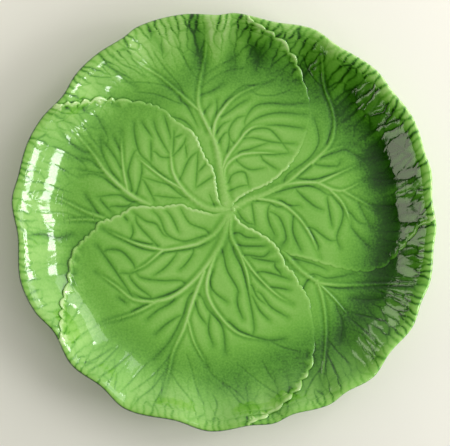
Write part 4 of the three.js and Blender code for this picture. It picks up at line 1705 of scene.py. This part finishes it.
def sheet_material(name):
    material, start = new_material(name)
    place = start.node("ShaderNodeTexCoord", {}, {}, "Object")
    # painted shade: the sheet is darker to the front and lighter to the back
    tone = 0.5 + SHEET_SHADE_CHANGE * how_far(place, SHEET_SHADE_WAY)
    tone = tone + SHEET_CLOUD * (noise(place, SHEET_CLOUD_SCALE, 3) - 0.5)
    colour = start.node("ShaderNodeValToRGB", {"stops": SHEET_TONES}, {"Fac": tone}, "Color")
    dress(start, {"Base Color": colour, "Roughness": SHEET_ROUGHNESS})
    return material


half = SHEET_SIZE / 2
SHEET_CORNERS = [(-half, -half), (half, -half), (half, half), (-half, half)]
sheet_mesh = bpy.data.meshes.new("sheet")
sheet_mesh.from_pydata([(x, y, -SHEET_DROP) for x, y in SHEET_CORNERS], [], [(0, 1, 2, 3)])
sheet_mesh.materials.append(sheet_material("pale_sheet"))
sheet = bpy.data.objects.new("sheet", sheet_mesh)
bpy.context.scene.collection.objects.link(sheet)
print("sheet:", SHEET_SIZE, "m square")

# %% [markdown]
# Two bright windows low on the right draw the white gleams along the left wall and the soft shadow, and
# two small ones further round add the lesser gleams. A wide panel above them stands for the sky. Dim
# panels low on the left lay the grey patches on the right wall. The room around them is brighter on the
# windows' side.

# %% Hang the windows and panels and light the room
AIM = Vector((0, 0, 0.02))
PANEL_DISTANCE = 1.3
WHITE = (1, 1, 1)
DULL = (0.96, 1, 0.77)
WINDOW_LIGHT = 11.2
SKY_LIGHT = 2.0
DULL_LIGHT = 2.5
PANELS = [  # name, azimuth and elevation in degrees, width and height in metres, light and tint
    ("window", -13, 29, 0.44, 0.44, WINDOW_LIGHT, WHITE),
    ("window_beside", 9, 29, 0.24, 0.44, WINDOW_LIGHT, WHITE),
    ("corner_window", -46, 28, 0.1, 0.2, WINDOW_LIGHT, WHITE),
    ("far_window", 40, 24, 0.1, 0.16, WINDOW_LIGHT, WHITE),
    ("sky_panel", 33, 42, 0.5, 0.8, SKY_LIGHT, WHITE),
    ("left_panel", 196, 21, 0.54, 0.6, DULL_LIGHT, DULL),
    ("low_left_panel", 170.5, 20, 0.2, 0.56, DULL_LIGHT, DULL),
    ("far_left_panel", 154.5, 20, 0.12, 0.46, DULL_LIGHT, DULL),
    ("last_left_panel", 138.5, 20, 0.11, 0.46, DULL_LIGHT, DULL),
    ("upper_left_panel", 223, 20, 0.05, 0.4, DULL_LIGHT, DULL),
]
ROOM_TINT = (1, 0.99, 0.96, 1)
ROOM_OVERHEAD = 0.3  # how much dimmer the room is straight above


def hang_panel(name, azimuth, elevation, width, height, radiance, tint):
    """A flat lamp that faces the plate. Its power follows from how bright its face is."""
    data = bpy.data.lights.new(name, "AREA")
    data.shape = "RECTANGLE"
    data.size = width
    data.size_y = height
    data.energy = radiance * math.pi * width * height
    data.color = tint
    turn, lift = math.radians(azimuth), math.radians(elevation)
    away = Vector((math.cos(lift) * math.cos(turn), math.cos(lift) * math.sin(turn), math.sin(lift)))
    panel = bpy.data.objects.new(name, data)
    panel.location = AIM + away * PANEL_DISTANCE
    panel.rotation_euler = away.to_track_quat("Z", "Y").to_euler()
    bpy.context.scene.collection.objects.link(panel)


def light_room(strength, lean, azimuth):
    """Soft light from all round: bright on one side, dim overhead and dark on the other side."""
    world = bpy.data.worlds.new("room")
    world.use_nodes = True
    world.node_tree.nodes.clear()
    bpy.context.scene.world = world
    start = Wire(world.node_tree)
    turn = math.radians(azimuth)
    side = (math.cos(turn), math.sin(turn), 0)
    way = start.node("ShaderNodeTexCoord", {}, {}, "Generated")
    high = start.node("ShaderNodeSeparateXYZ", {}, {"Vector": way}, "Z")
    bright = start.maths("MAXIMUM", 1 + lean * how_far(way, side), 0)
    glow = {"Color": ROOM_TINT, "Strength": strength * bright * (1 - ROOM_OVERHEAD * high * high)}
    background = start.node("ShaderNodeBackground", {}, glow, "Background")
    start.node("ShaderNodeOutputWorld", {}, {"Surface": background})


for panel in PANELS:
    hang_panel(*panel)
light_room(strength=0.64, lean=1.3, azimuth=28)
bpy.context.scene.view_settings.view_transform = "Standard"
